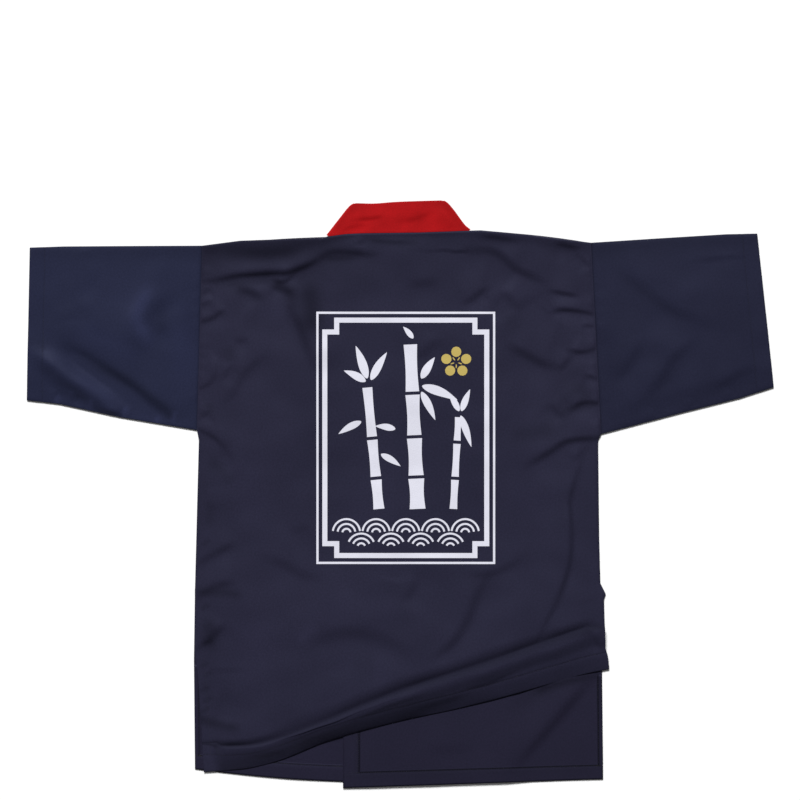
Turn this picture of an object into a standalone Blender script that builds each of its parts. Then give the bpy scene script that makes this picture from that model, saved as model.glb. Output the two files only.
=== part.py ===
"""Short-sleeved work coat with a banded collar, laid face down, its back panel uppermost.

All sizes are in metres. X runs across the coat, Y from the hem up to the neck, and Z up from the
surface that the coat lies on. The wearer's left is at -X.
"""

import math
from collections import namedtuple

import bmesh
import bpy
from mathutils import Vector

# Walls and seams
CLOTH = 0.0012
BAND = 0.0016
SEAM = 0.0003

# Middle heights of the layers, from the lowest up
FLOOR_LAYER = CLOTH / 2
LOW_LAPEL = BAND / 2
RAISED_FRONT = BAND + SEAM + CLOTH / 2
HIGH_LAPEL = BAND + SEAM + BAND / 2
BACK_LOW = FLOOR_LAYER + CLOTH + SEAM
BACK_RISE = 0.0024
NECK_RISE = 0.0009
COLLAR_TOP = 0.0062

# Where the inner front and the right lapel lift the back panel
LIFT_LEFT = -0.125
LIFT_RIGHT = 0.142
LIFT_RUN = 0.045
FRONT_STEP = 0.137

# Looseness of the back and the sleeves over what they lie on
BACK_LOFT = 0.0026
LOFT_RUN = 0.040
LEAST_RISE = 0.0001
EDGE_BEND = 0.35
SLEEVE_TURN = 0.0009
SLEEVE_LOFT = 0.0026
CUFF_START = 0.7
CUFF_LOOSENESS = 0.45

# Where the back rises to the armhole seams and to the neck seam
ARMHOLE_RISE = 0.0012
ARMHOLE_LOW = 0.03
ARMHOLE_RUN = 0.06
NECK_LOW = 0.28
NECK_RUN = 0.05
TOP_RUN = 0.012

# Runs over which the fold, the brow above it, the hem and the creases change
EDGE_REACH = 0.012
FOLD_REACH = 0.006
BROW_REACH = 0.015
BROW_FADE = 3.2
FIRST_DROP = 0.4
HEM_RUN = 0.045
HEM_STEP_X = -0.125
HEM_STEP_RUN = 0.035
CREASE_END_RUN = 0.3
CREASE_END_HEIGHT = 0.35

# Corners that the pieces share
NECK_LEFT = (-0.0992, 0.3476)
NECK_RIGHT = (0.0938, 0.3557)
COLLAR_TIP_LEFT = (-0.0652, 0.3915)
COLLAR_TIP_RIGHT = (0.0594, 0.3952)
LAPEL_END_Y = -0.120
LEFT_FRONT_EDGE = 0.0763
RIGHT_FRONT_EDGE = -0.0776
COLLAR_WIDTH = 0.046

Edge = namedtuple("Edge", "x y")
SideRow = namedtuple("SideRow", "y x")
FoldRow = namedtuple("FoldRow", "x turn overlap under_radius crest_radius crest_rise fall shoulder")
BrowRow = namedtuple("BrowRow", "x rise run")
FrontRow = namedtuple("FrontRow", "side_x side_y edge_x edge_y bow steps")
SleeveRow = namedtuple("SleeveRow", "top_x top_y under_x under_y")
Crease = namedtuple("Crease", "route width height")

# Top edge of the back, from armhole over the neck to armhole
BACK_TOP = (
    Edge(-0.2680, 0.3355),
    Edge(-0.2167, 0.3422),
    Edge(-0.1222, 0.3456),
    Edge(-0.1120, 0.3464),
    Edge(-0.1073, 0.3452),
    Edge(-0.0992, 0.3476),
    Edge(-0.0749, 0.3510),
    Edge(-0.0547, 0.3521),
    Edge(0.0263, 0.3532),
    Edge(0.0938, 0.3557),
    Edge(0.1073, 0.3562),
    Edge(0.1748, 0.3503),
    Edge(0.2572, 0.3395),
)

# Side edges of the back, from the top down: armhole, side seam and vent
BACK_LEFT = (
    SideRow(0.3355, -0.2680),
    SideRow(0.0871, -0.2747),
    SideRow(0.0736, -0.2720),
    SideRow(-0.0884, -0.2747),
    SideRow(-0.1289, -0.2774),
    SideRow(-0.2126, -0.2774),
    SideRow(-0.2437, -0.2734),
    SideRow(-0.3179, -0.2687),
    SideRow(-0.3746, -0.2653),
)
BACK_RIGHT = (
    SideRow(0.3395, 0.2572),
    SideRow(0.0817, 0.2707),
    SideRow(0.0736, 0.2666),
    SideRow(-0.0074, 0.2666),
    SideRow(-0.1195, 0.2695),
    SideRow(-0.1343, 0.2770),
    SideRow(-0.1415, 0.2745),
    SideRow(-0.1510, 0.2747),
    SideRow(-0.2070, 0.2762),
    SideRow(-0.2170, 0.2795),
    SideRow(-0.2342, 0.2815),
)

# Crest of the roll and the back's hem below it, from left to right
CREST = (
    Edge(-0.2700, -0.3350),
    Edge(-0.2400, -0.3385),
    Edge(-0.2100, -0.3374),
    Edge(-0.1900, -0.3342),
    Edge(-0.1700, -0.3290),
    Edge(-0.1500, -0.3215),
    Edge(-0.1300, -0.3140),
    Edge(-0.0900, -0.2984),
    Edge(-0.0600, -0.2856),
    Edge(0.0000, -0.2623),
    Edge(0.0600, -0.2428),
    Edge(0.1200, -0.2232),
    Edge(0.1800, -0.2022),
    Edge(0.2400, -0.1815),
    Edge(0.2600, -0.1750),
    Edge(0.2820, -0.1812),
)
HEM = (
    Edge(-0.2653, -0.3746),
    Edge(-0.2072, -0.3700),
    Edge(-0.1700, -0.3605),
    Edge(-0.1500, -0.3530),
    Edge(-0.1100, -0.3355),
    Edge(-0.0600, -0.3195),
    Edge(0.0100, -0.3020),
    Edge(0.0600, -0.2920),
    Edge(0.1200, -0.2772),
    Edge(0.1800, -0.2604),
    Edge(0.2400, -0.2430),
    Edge(0.2815, -0.2342),
)

# How far the cloth turns over in the fold: 0 flat, 0.5 upright, 1 folded back on itself
FOLD = (
    FoldRow(-0.2700, 0.06, 0.000, 0.0026, 0.0024, 0.0024, 1.60, 0.00),
    FoldRow(-0.2520, 0.12, 0.000, 0.0024, 0.0026, 0.0024, 1.60, 0.00),
    FoldRow(-0.2430, 0.94, 0.001, 0.0026, 0.0040, 0.0026, 1.50, 0.00),
    FoldRow(-0.2070, 0.98, 0.001, 0.0032, 0.0042, 0.0032, 1.40, 0.00),
    FoldRow(-0.1500, 0.98, 0.002, 0.0034, 0.0050, 0.0034, 1.30, 0.00),
    FoldRow(-0.0900, 0.98, 0.003, 0.0030, 0.0070, 0.0038, 1.35, 0.00),
    FoldRow(-0.0400, 0.99, 0.005, 0.0030, 0.0084, 0.0048, 1.50, 0.00),
    FoldRow(0.0000, 1.00, 0.007, 0.0030, 0.0092, 0.0052, 1.60, 0.02),
    FoldRow(0.0900, 1.00, 0.008, 0.0024, 0.0108, 0.0048, 1.60, 0.15),
    FoldRow(0.1800, 1.00, 0.009, 0.0020, 0.0116, 0.0044, 1.60, 0.28),
    FoldRow(0.2400, 1.00, 0.009, 0.0018, 0.0120, 0.0042, 1.60, 0.30),
    FoldRow(0.2650, 1.00, 0.007, 0.0016, 0.0080, 0.0030, 1.60, 0.28),
    FoldRow(0.2820, 1.00, 0.005, 0.0014, 0.0050, 0.0022, 1.60, 0.26),
)

# How the cloth above the fold swells and then dips into it, over a run from the crest
BROW = (
    BrowRow(-0.2700, 0.0000, 0.009),
    BrowRow(-0.1900, 0.0002, 0.009),
    BrowRow(-0.1650, 0.0006, 0.014),
    BrowRow(-0.1500, 0.0010, 0.020),
    BrowRow(-0.1100, 0.0010, 0.020),
    BrowRow(-0.0600, 0.0018, 0.019),
    BrowRow(0.0000, 0.0026, 0.018),
    BrowRow(0.0600, 0.0024, 0.016),
    BrowRow(0.1200, 0.0026, 0.018),
    BrowRow(0.1800, 0.0018, 0.016),
    BrowRow(0.2400, 0.0006, 0.012),
    BrowRow(0.2820, 0.0000, 0.010),
)

# Both fronts, from the hem up to the shoulder
FRONT_LEFT = (
    FrontRow(-0.2774, -0.3706, LEFT_FRONT_EDGE, -0.3870, -0.008, 3),
    FrontRow(-0.2788, -0.2234, LEFT_FRONT_EDGE, -0.2300, 0.0, 2),
    FrontRow(-0.2774, -0.1289, LEFT_FRONT_EDGE, LAPEL_END_Y, 0.0, 4),
    FrontRow(-0.2720, 0.0790, -0.0015, 0.0870, 0.0, 5),
    FrontRow(-0.2680, 0.3355, NECK_LEFT[0], NECK_LEFT[1], 0.002, 0),
)
FRONT_RIGHT = (
    FrontRow(0.2734, -0.3841, RIGHT_FRONT_EDGE, -0.3962, 0.0, 3),
    FrontRow(0.2720, -0.2369, RIGHT_FRONT_EDGE, -0.2350, 0.0, 2),
    FrontRow(0.2745, -0.1400, RIGHT_FRONT_EDGE, -0.1380, 0.0, 1),
    FrontRow(0.2688, -0.1180, RIGHT_FRONT_EDGE, LAPEL_END_Y, 0.0, 4),
    FrontRow(0.2666, 0.0740, -0.0020, 0.0898, 0.0, 5),
    FrontRow(0.2572, 0.3395, NECK_RIGHT[0], NECK_RIGHT[1], 0.003, 0),
)

# Both sleeves, from the armhole out to the cuff
SLEEVE_LEFT = (
    SleeveRow(-0.2680, 0.3355, -0.2747, 0.0871),
    SleeveRow(-0.3787, 0.3350, -0.3787, 0.1046),
    SleeveRow(-0.4560, 0.3345, -0.4597, 0.1222),
    SleeveRow(-0.5002, 0.3328, -0.5042, 0.1276),
)
SLEEVE_RIGHT = (
    SleeveRow(0.2572, 0.3395, 0.2707, 0.0817),
    SleeveRow(0.3500, 0.3455, 0.3773, 0.1100),
    SleeveRow(0.4400, 0.3510, 0.4583, 0.1303),
    SleeveRow(0.4813, 0.3517, 0.5035, 0.1451),
)

# Largest creases, as troughs (height below 0) and ridges (height above 0)
BACK_CREASES = (
    Crease(((-0.257, 0.290), (-0.141, 0.306), (-0.086, 0.328)), 0.013, -0.0030),
    Crease(((-0.250, 0.314), (-0.136, 0.322)), 0.016, 0.0026),
    Crease(((-0.160, 0.290), (-0.148, 0.262)), 0.013, -0.0026),
    Crease(((-0.172, 0.262), (-0.141, 0.222), (-0.118, 0.187), (-0.082, 0.120)), 0.024, 0.0030),
    Crease(((-0.272, 0.236), (-0.236, 0.245)), 0.013, -0.0024),
    Crease(((-0.272, 0.146), (-0.252, 0.158), (-0.249, 0.184)), 0.014, -0.0020),
    Crease(((-0.262, 0.083), (-0.228, 0.062), (-0.236, 0.035)), 0.015, -0.0022),
    Crease(((0.101, 0.325), (0.152, 0.310), (0.195, 0.294)), 0.013, -0.0026),
    Crease(((0.132, 0.286), (0.156, 0.244), (0.164, 0.219)), 0.014, -0.0020),
    Crease(((0.141, 0.202), (0.190, 0.184), (0.215, 0.171), (0.230, 0.188)), 0.013, -0.0022),
    Crease(((0.232, 0.247), (0.262, 0.244)), 0.013, -0.0024),
    Crease(((0.229, 0.188), (0.265, 0.195)), 0.013, -0.0026),
    Crease(((0.234, 0.120), (0.269, 0.124)), 0.013, -0.0028),
    Crease(((0.268, 0.080), (0.195, 0.060), (0.161, 0.040)), 0.015, -0.0028),
    Crease(((0.249, 0.048), (0.230, -0.013), (0.238, -0.087), (0.218, -0.122), (0.191, -0.188)),
           0.016, -0.0028),
    Crease(((-0.273, -0.095), (-0.215, -0.066)), 0.014, -0.0022),
    Crease(((-0.269, -0.199), (-0.237, -0.161)), 0.016, -0.0028),
    Crease(((-0.118, -0.195), (-0.052, -0.172), (0.006, -0.203), (0.025, -0.215)), 0.020, -0.0030),
    Crease(((-0.150, -0.150), (-0.060, -0.130), (0.030, -0.160)), 0.026, 0.0024),
    Crease(((0.110, -0.137), (0.075, -0.192), (0.044, -0.215)), 0.016, -0.0028),
    Crease(((0.160, -0.075), (0.137, -0.102), (0.087, -0.109)), 0.014, -0.0018),
)
LEFT_SLEEVE_CREASES = (
    Crease(((-0.487, 0.202), (-0.460, 0.175), (-0.412, 0.148), (-0.365, 0.128)), 0.015, 0.0034),
    Crease(((-0.460, 0.215), (-0.392, 0.188), (-0.338, 0.155), (-0.291, 0.121)), 0.014, -0.0024),
    Crease(((-0.372, 0.262), (-0.338, 0.222)), 0.018, 0.0022),
)
RIGHT_SLEEVE_CREASES = (
    Crease(((0.269, 0.314), (0.330, 0.276), (0.391, 0.229)), 0.016, -0.0022),
    Crease(((0.391, 0.209), (0.335, 0.150), (0.296, 0.128)), 0.016, -0.0022),
    Crease(((0.410, 0.260), (0.470, 0.230)), 0.020, 0.0018),
)

# Steps of the meshes
BACK_COLUMNS = 42
BODY_ROWS = 28
BROW_ROWS = 8
TURN_STEPS = 6
OVERLAP_STEPS = 2
CREST_STEPS = 8
FALL_STEPS = 9
FRONT_COLUMNS = 20
SLEEVE_STEPS = (6, 4, 3)
SLEEVE_ACROSS = 13
SLEEVE_UNDER = 6
EDGE_STEPS = 4
LAPEL_STEPS = 9
NECK_STEPS = 28
BAND_ROWS = 3
BROW_START = 0.91
MERGE_DISTANCE = 0.00002

# Colour, roughness and metallic value of each finish
NAVY = ((0.022, 0.024, 0.045, 1.0), 0.62, 0.0)
RED = ((0.36, 0.010, 0.014, 1.0), 0.65, 0.0)


def clear_scene():
    """Remove everything that the scene holds."""
    for thing in list(bpy.data.objects):
        bpy.data.objects.remove(thing, do_unlink=True)


def mix(start, end, share):
    """Value at a share of the way from start to end."""
    return start + (end - start) * share


def ease(share):
    """Smooth step from 0 to 1, flat at both ends."""
    share = min(max(share, 0.0), 1.0)
    return share * share * (3.0 - 2.0 * share)


def span_at(rows, key, value):
    """Two neighbouring rows of a table around a value, and the share of the way between them."""
    forward = getattr(rows[-1], key) > getattr(rows[0], key)
    for first, second in zip(rows, rows[1:]):
        end = getattr(second, key)
        if (value <= end) if forward else (value >= end):
            break
    start = getattr(first, key)
    share = (value - start) / (getattr(second, key) - start)
    return first, second, min(max(share, 0.0), 1.0)


def read(rows, key, column, value):
    """Column of a table at a value of its key column, straight between the rows."""
    first, second, share = span_at(rows, key, value)
    return mix(getattr(first, column), getattr(second, column), share)


def soft_read(rows, key, column, value, reach):
    """Column of a table, its corners rounded over the reach to both sides."""
    offsets = (-1.0, -0.5, 0.0, 0.5, 1.0)
    total = sum(read(rows, key, column, value + reach * offset) for offset in offsets)
    return total / len(offsets)


def crease_height(crease, x, y):
    """Height that one crease adds at a point, fading to both its ends and its sides."""
    nearest = None
    walked = 0.0
    for (ax, ay), (bx, by) in zip(crease.route, crease.route[1:]):
        length = math.hypot(bx - ax, by - ay)
        along = ((x - ax) * (bx - ax) + (y - ay) * (by - ay)) / length
        held = min(max(along, 0.0), length)
        away = math.hypot(x - mix(ax, bx, held / length), y - mix(ay, by, held / length))
        if nearest is None or away < nearest[0]:
            nearest = (away, walked + held)
        walked += length
    away, place = nearest
    fade = ease(min(place, walked - place) / (CREASE_END_RUN * walked) + CREASE_END_HEIGHT)
    return crease.height * fade * math.exp(-((away / crease.width) ** 2))


def relief(creases, x, y):
    """Sum of all creases at a point."""
    return sum(crease_height(crease, x, y) for crease in creases)


def lift(x):
    """Share of the full lift that the layers below give the back panel at x."""
    left = ease((x - LIFT_LEFT + LIFT_RUN) / LIFT_RUN)
    right = ease((LIFT_RIGHT + LIFT_RUN - x) / LIFT_RUN)
    return min(left, right)


def back_base(x):
    """Middle height of the back panel where it rests on the layers below."""
    return BACK_LOW + BACK_RISE * lift(x)


def hem_level(x):
    """Middle height of the back's hem where it rests on the fronts."""
    on_right = RAISED_FRONT + CLOTH + SEAM
    return min(mix(BACK_LOW, on_right, ease((x - HEM_STEP_X) / HEM_STEP_RUN)), back_base(x))


def back_ends(y_left, y_right):
    """Both side edges of the back at the given heights on the coat."""
    return read(BACK_LEFT, "y", "x", y_left), read(BACK_RIGHT, "y", "x", y_right)


def top_y(x):
    """Top edge of the back at x."""
    return read(BACK_TOP, "x", "y", x)


def crest_y(x):
    """Crest of the roll at x."""
    return soft_read(CREST, "x", "y", x, EDGE_REACH)


def hem_y(x):
    """Hem of the back at x."""
    return soft_read(HEM, "x", "y", x, EDGE_REACH)


def turned_steps(row):
    """Steps of the fold up to the end of its crest, as (angle, length along Y, length along Z)."""
    full = row["turn"] * math.pi
    under = row["under_radius"] * full / TURN_STEPS
    steps = [(full * (index + 0.5) / TURN_STEPS, under, under) for index in range(TURN_STEPS)]
    overlap = row["overlap"] / OVERLAP_STEPS
    steps += [(full, overlap, overlap)] * OVERLAP_STEPS
    inward = row["crest_radius"] * full / CREST_STEPS
    upward = row["crest_rise"] * full / CREST_STEPS
    for index in range(CREST_STEPS):
        angle = full * (1.0 - (index + 0.5) / CREST_STEPS)
        steps.append((angle, inward, upward))
    return steps


def fold_profile(x):
    """Side view of the fold at x, as (y, z) from its start to the hem, z above the resting level.

    The cloth turns up and back over the hidden turn, runs back under the roll, turns over the crest
    and falls to the hem.
    """
    row = {name: soft_read(FOLD, "x", name, x, FOLD_REACH) for name in FoldRow._fields[1:]}
    points = [(0.0, 0.0)]
    for angle, inward, upward in turned_steps(row):
        y, z = points[-1]
        points.append((y - math.cos(angle) * inward, z + math.sin(angle) * upward))
    crest_index = TURN_STEPS + OVERLAP_STEPS + CREST_STEPS // 2
    shift = crest_y(x) - points[crest_index][0]
    points = [(y + shift, z) for y, z in points]
    start_y, top_z = points[-1]
    for index in range(1, FALL_STEPS + 1):
        share = math.sin(0.5 * math.pi * index / FALL_STEPS)
        round_fall = 1.0 - share ** row["fall"]
        first_drop = 1.0 - ease(share / FIRST_DROP)
        height = mix(round_fall, first_drop, row["shoulder"])
        points.append((mix(start_y, hem_y(x), share), top_z * height))
    return points


def back_height(x, y, share):
    """Middle height of the flat part of the back at a point, at a share of the way across."""
    from_side = min(share, 1.0 - share) * (BACK_RIGHT[0].x - BACK_LEFT[0].x)
    from_top = top_y(x) - y
    dip = (y - crest_y(x)) / soft_read(BROW, "x", "run", x, BROW_REACH)
    clear = 1.0 - (1.0 - min(max(dip, 0.0), 1.0)) ** 2
    brow_rise = soft_read(BROW, "x", "rise", x, BROW_REACH)
    brow = brow_rise * math.exp(-((max(dip - 1.0, 0.0) / BROW_FADE) ** 2))
    at_armhole = ease((y - ARMHOLE_LOW) / ARMHOLE_RUN) * ARMHOLE_RISE * ease(from_top / TOP_RUN)
    at_neck = ease((y - NECK_LOW) / NECK_RUN) * NECK_RISE * lift(x)
    loose = ease(from_side / LOFT_RUN) * ease(from_top / LOFT_RUN)
    bend = relief(BACK_CREASES, x, y) * mix(EDGE_BEND, 1.0, loose)
    swell = (BACK_LOFT + brow) * loose + bend
    return back_base(x) + max(at_armhole + at_neck + swell * clear, LEAST_RISE)


def body_shares():
    """Shares of the way down the flat part of the back, closer together near the fold."""
    upper = [BROW_START * row / BODY_ROWS for row in range(BODY_ROWS)]
    return upper + [mix(BROW_START, 1.0, row / BROW_ROWS) for row in range(BROW_ROWS)]


def back_column(share):
    """Points of one column of the back, from its top edge down to its hem."""
    x_left, x_right = back_ends(crest_y(BACK_LEFT[-1].x), crest_y(BACK_RIGHT[-1].x))
    left, right = fold_profile(x_left), fold_profile(x_right)
    profile = fold_profile(mix(x_left, x_right, share))
    y_top = top_y(mix(BACK_LEFT[0].x, BACK_RIGHT[0].x, share))
    points = []
    for down in body_shares():
        y_left = mix(BACK_LEFT[0].y, left[0][0], down)
        y_right = mix(BACK_RIGHT[0].y, right[0][0], down)
        x = mix(*back_ends(y_left, y_right), share)
        y = mix(y_top, profile[0][0], down)
        points.append(Vector((x, y, back_height(x, y, share))))
    fall_start = len(profile) - FALL_STEPS
    for index, (y, z) in enumerate(profile):
        x = mix(*back_ends(left[index][0], right[index][0]), share)
        from_hem = y - profile[-1][0] if index >= fall_start else HEM_RUN
        level = mix(back_base(x), hem_level(x), ease(1.0 - from_hem / HEM_RUN))
        points.append(Vector((x, y, level + LEAST_RISE + z)))
    return points


def front_section(rows, index, share_up):
    """Both ends and the bow of a front's row, part of the way up from one table row."""
    low, high = rows[index], rows[min(index + 1, len(rows) - 1)]
    side = Vector((mix(low.side_x, high.side_x, share_up), mix(low.side_y, high.side_y, share_up)))
    edge = Vector((mix(low.edge_x, high.edge_x, share_up), mix(low.edge_y, high.edge_y, share_up)))
    return side, edge, mix(low.bow, high.bow, ease(share_up))


def front_rows(rows):
    """All rows of a front panel, from the hem up, as (side end, front end, bow)."""
    sections = []
    for index, row in enumerate(rows):
        for step in range(row.steps):
            sections.append(front_section(rows, index, step / row.steps))
    sections.append(front_section(rows, len(rows) - 1, 0.0))
    return sections


def front_height(x, raised):
    """Middle height of a front, which steps up from the surface at its side to its raised part."""
    share = min(max((FRONT_STEP + LIFT_RUN - x) / LIFT_RUN, 0.0), 1.0)
    return mix(FLOOR_LAYER, raised, share)


def front_columns(rows, raised):
    """Grid of points of a front panel, one list for each row."""
    grid = []
    for side, edge, bow in front_rows(rows):
        line = []
        for column in range(FRONT_COLUMNS + 1):
            share = column / FRONT_COLUMNS
            plan = side.lerp(edge, share)
            plan.y += bow * 4.0 * share * (1.0 - share)
            line.append(Vector((plan.x, plan.y, front_height(plan.x, raised))))
        grid.append(line)
    return grid


def ring_steps():
    """Round of a flattened tube, as (share across, layer from 0 low to 1 high, sideways share)."""
    steps = [(index / SLEEVE_ACROSS, 1.0, 0.0) for index in range(SLEEVE_ACROSS + 1)]
    for index in range(1, EDGE_STEPS):
        angle = math.pi * index / EDGE_STEPS
        steps.append((1.0, 0.5 + 0.5 * math.cos(angle), math.sin(angle)))
    steps += [(1.0 - index / SLEEVE_UNDER, 0.0, 0.0) for index in range(SLEEVE_UNDER + 1)]
    for index in range(1, EDGE_STEPS):
        angle = math.pi * index / EDGE_STEPS
        steps.append((0.0, 0.5 - 0.5 * math.cos(angle), math.sin(angle)))
    steps.append(steps[0])
    return steps


def sleeve_sections(rows, outward):
    """Top and under ends of every section of a sleeve, from the armhole out to the cuff."""
    sections = []
    for (near, far), count in zip(zip(rows, rows[1:]), SLEEVE_STEPS):
        last = far is rows[-1]
        for step in range(count + last):
            share = step / count
            top = Vector((mix(near.top_x, far.top_x, share), mix(near.top_y, far.top_y, share)))
            under = Vector((mix(near.under_x, far.under_x, share), mix(near.under_y, far.under_y, share)))
            sections.append((top, under))
    for end in sections[0]:
        end.x += outward * SEAM
    return sections


def sleeve_columns(rows, outward, creases):
    """Grid of points of a sleeve, one closed round for each section."""
    grid = []
    sections = sleeve_sections(rows, outward)
    for index, (top, under) in enumerate(sections):
        along = index / (len(sections) - 1)
        line = []
        across = (under - top).normalized()
        for share, layer, sideways in ring_steps():
            inset = mix(SLEEVE_TURN, (under - top).length - SLEEVE_TURN, share)
            plan = top + across * inset
            plan += across * (SLEEVE_TURN * sideways * (1.0 if share > 0.5 else -1.0))
            z = FLOOR_LAYER + 2.0 * SLEEVE_TURN * layer
            if layer == 1.0:
                width = (under - top).length
                loose = ease(min(share, 1.0 - share) * width / LOFT_RUN)
                at_cuff = ease((along - CUFF_START) / (1.0 - CUFF_START))
                swell = SLEEVE_LOFT + relief(creases, plan.x, plan.y)
                z += max(loose * swell * mix(1.0, CUFF_LOOSENESS, at_cuff), 0.0)
            line.append(Vector((plan.x, plan.y, z)))
        grid.append(line)
    return grid


def lapel_ends(neck, end_x, side):
    """Seam edge and free edge of a lapel at its lower end."""
    seam = Vector((end_x, LAPEL_END_Y))
    run = (seam - Vector(neck)).normalized()
    across = Vector((-run.y, run.x)) * side
    return seam + across * SEAM, seam + across * COLLAR_WIDTH


def collar_section(seam, free, height):
    """One line of points across the band, from its seam edge to its free edge."""
    line = []
    for row in range(BAND_ROWS + 1):
        plan = seam.lerp(free, row / BAND_ROWS)
        line.append(Vector((plan.x, plan.y, height)))
    return line


def free_corner(tip, slant, outward, radius):
    """Where the flat layers' free edge meets the fold, on the line of the collar's upper edge."""
    rise = (COLLAR_TIP_RIGHT[1] - COLLAR_TIP_LEFT[1]) / (COLLAR_TIP_RIGHT[0] - COLLAR_TIP_LEFT[0])
    shift = -outward * radius
    along = (rise * shift.x - shift.y) / (slant.y - rise * slant.x)
    return Vector(tip) + shift + slant * along


def collar_side(neck, tip, end_x, side, low):
    """Lapel and fold of one side of the collar, from the lapel's end up to the back section."""
    radius = (COLLAR_TOP - low) / 2.0
    seam_end, free_end = lapel_ends(neck, end_x, side)
    slant = (Vector(tip) - Vector(neck)).normalized()
    outward = Vector((-slant.y, slant.x)) * side
    seam_top = Vector(neck) - outward * radius
    seam_top.y = top_y(seam_top.x) + SEAM
    free_top = free_corner(tip, slant, outward, radius)
    grid = []
    for step in range(LAPEL_STEPS + 1):
        share = step / LAPEL_STEPS
        grid.append(collar_section(seam_end.lerp(seam_top, share), free_end.lerp(free_top, share), low))
    for step in range(1, TURN_STEPS):
        angle = math.pi * step / TURN_STEPS
        shift = outward * (radius * math.sin(angle))
        height = low + radius * (1.0 - math.cos(angle))
        grid.append(collar_section(seam_top + shift, free_top + shift, height))
    grid.append(collar_section(seam_top, free_top, COLLAR_TOP))
    return grid


def collar_columns():
    """Grid of points of the whole collar, from the left lapel's end over the neck to the right."""
    left = collar_side(NECK_LEFT, COLLAR_TIP_LEFT, LEFT_FRONT_EDGE, 1.0, LOW_LAPEL)
    right = collar_side(NECK_RIGHT, COLLAR_TIP_RIGHT, RIGHT_FRONT_EDGE, -1.0, HIGH_LAPEL)
    start, end = left[-1], right[-1]
    middle = []
    for step in range(1, NECK_STEPS):
        share = step / NECK_STEPS
        seam = start[0].lerp(end[0], share)
        seam.y = max(seam.y, top_y(seam.x) + SEAM)
        free = start[-1].lerp(end[-1], share)
        middle.append(collar_section(seam.xy, free.xy, COLLAR_TOP))
    return left + middle + right[::-1]


def finish(name, look):
    """Plain cloth material from a colour, a roughness and a metallic value."""
    colour, roughness, metallic = look
    material = bpy.data.materials.new(name)
    material.use_nodes = True
    shader = material.node_tree.nodes["Principled BSDF"]
    shader.inputs["Base Color"].default_value = colour
    shader.inputs["Roughness"].default_value = roughness
    shader.inputs["Metallic"].default_value = metallic
    material.diffuse_color = colour
    return material


def make_cloth(name, grid, wall, look, tube=False):
    """Cloth piece: a grid of points moved into place, given its wall by a Solidify modifier."""
    down, across = len(grid) - 1, len(grid[0]) - 1
    mesh = bpy.data.meshes.new(name)
    shape = bmesh.new()
    bmesh.ops.create_grid(shape, x_segments=across, y_segments=down, size=1.0)
    for vertex in shape.verts:
        column = round((vertex.co.x + 1.0) / 2.0 * across)
        row = round((vertex.co.y + 1.0) / 2.0 * down)
        vertex.co = grid[row][column]
    if tube:
        bmesh.ops.remove_doubles(shape, verts=shape.verts, dist=MERGE_DISTANCE)
    top = max(shape.faces, key=lambda face: face.calc_center_median().z)
    top.normal_update()
    if top.normal.z < 0.0:
        bmesh.ops.reverse_faces(shape, faces=shape.faces)
    shape.to_mesh(mesh)
    shape.free()
    mesh.shade_smooth()
    piece = bpy.data.objects.new(name, mesh)
    bpy.context.scene.collection.objects.link(piece)
    wall_maker = piece.modifiers.new("wall", "SOLIDIFY")
    wall_maker.thickness = wall
    wall_maker.offset = 0.0
    mesh.materials.append(finish(name, look))
    return piece


def build():
    """Make every piece of the coat."""
    clear_scene()
    columns = [back_column(index / BACK_COLUMNS) for index in range(BACK_COLUMNS + 1)]
    make_cloth("back", columns, CLOTH, NAVY)
    make_cloth("front_left", front_columns(FRONT_LEFT, FLOOR_LAYER), CLOTH, NAVY)
    make_cloth("front_right", front_columns(FRONT_RIGHT, RAISED_FRONT), CLOTH, NAVY)
    left = sleeve_columns(SLEEVE_LEFT, -1.0, LEFT_SLEEVE_CREASES)
    make_cloth("sleeve_left", left, CLOTH, NAVY, tube=True)
    right = sleeve_columns(SLEEVE_RIGHT, 1.0, RIGHT_SLEEVE_CREASES)
    make_cloth("sleeve_right", right, CLOTH, NAVY, tube=True)
    make_cloth("collar", collar_columns(), BAND, RED)


build()
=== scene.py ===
"""Looks of a short-sleeved work coat with a banded collar, laid face down on a pale floor.

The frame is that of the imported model: X runs across the coat, Y from the hem up to the neck and Z up
from the floor. The wearer's left is at -X. Sizes are in metres, apart from those of creases, swells,
ripples and puckers and of the tables made by in_metres, which are in millimetres.
"""

import logging
import math
from dataclasses import dataclass
from enum import Enum
from typing import NamedTuple

import bmesh
import bpy
import numpy as np
from mathutils import Matrix, Vector, noise
from mathutils.bvhtree import BVHTree

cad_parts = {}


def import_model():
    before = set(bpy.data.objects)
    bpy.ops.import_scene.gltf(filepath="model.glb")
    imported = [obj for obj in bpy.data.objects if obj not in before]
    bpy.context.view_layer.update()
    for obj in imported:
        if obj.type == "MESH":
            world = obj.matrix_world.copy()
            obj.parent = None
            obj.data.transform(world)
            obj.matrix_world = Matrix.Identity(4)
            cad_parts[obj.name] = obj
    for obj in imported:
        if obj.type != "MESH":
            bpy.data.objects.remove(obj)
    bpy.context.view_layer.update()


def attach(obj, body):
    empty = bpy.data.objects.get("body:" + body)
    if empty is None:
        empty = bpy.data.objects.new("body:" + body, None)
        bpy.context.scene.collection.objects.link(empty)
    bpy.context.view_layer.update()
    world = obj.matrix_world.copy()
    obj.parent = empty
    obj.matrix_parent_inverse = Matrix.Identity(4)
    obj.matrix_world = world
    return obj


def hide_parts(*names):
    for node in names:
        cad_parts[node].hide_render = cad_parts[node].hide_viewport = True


LOG = logging.getLogger("coat")
BODY = "root"
NAVY_SLOT = "navy_cloth"
RED_SLOT = "red_cloth"

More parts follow.
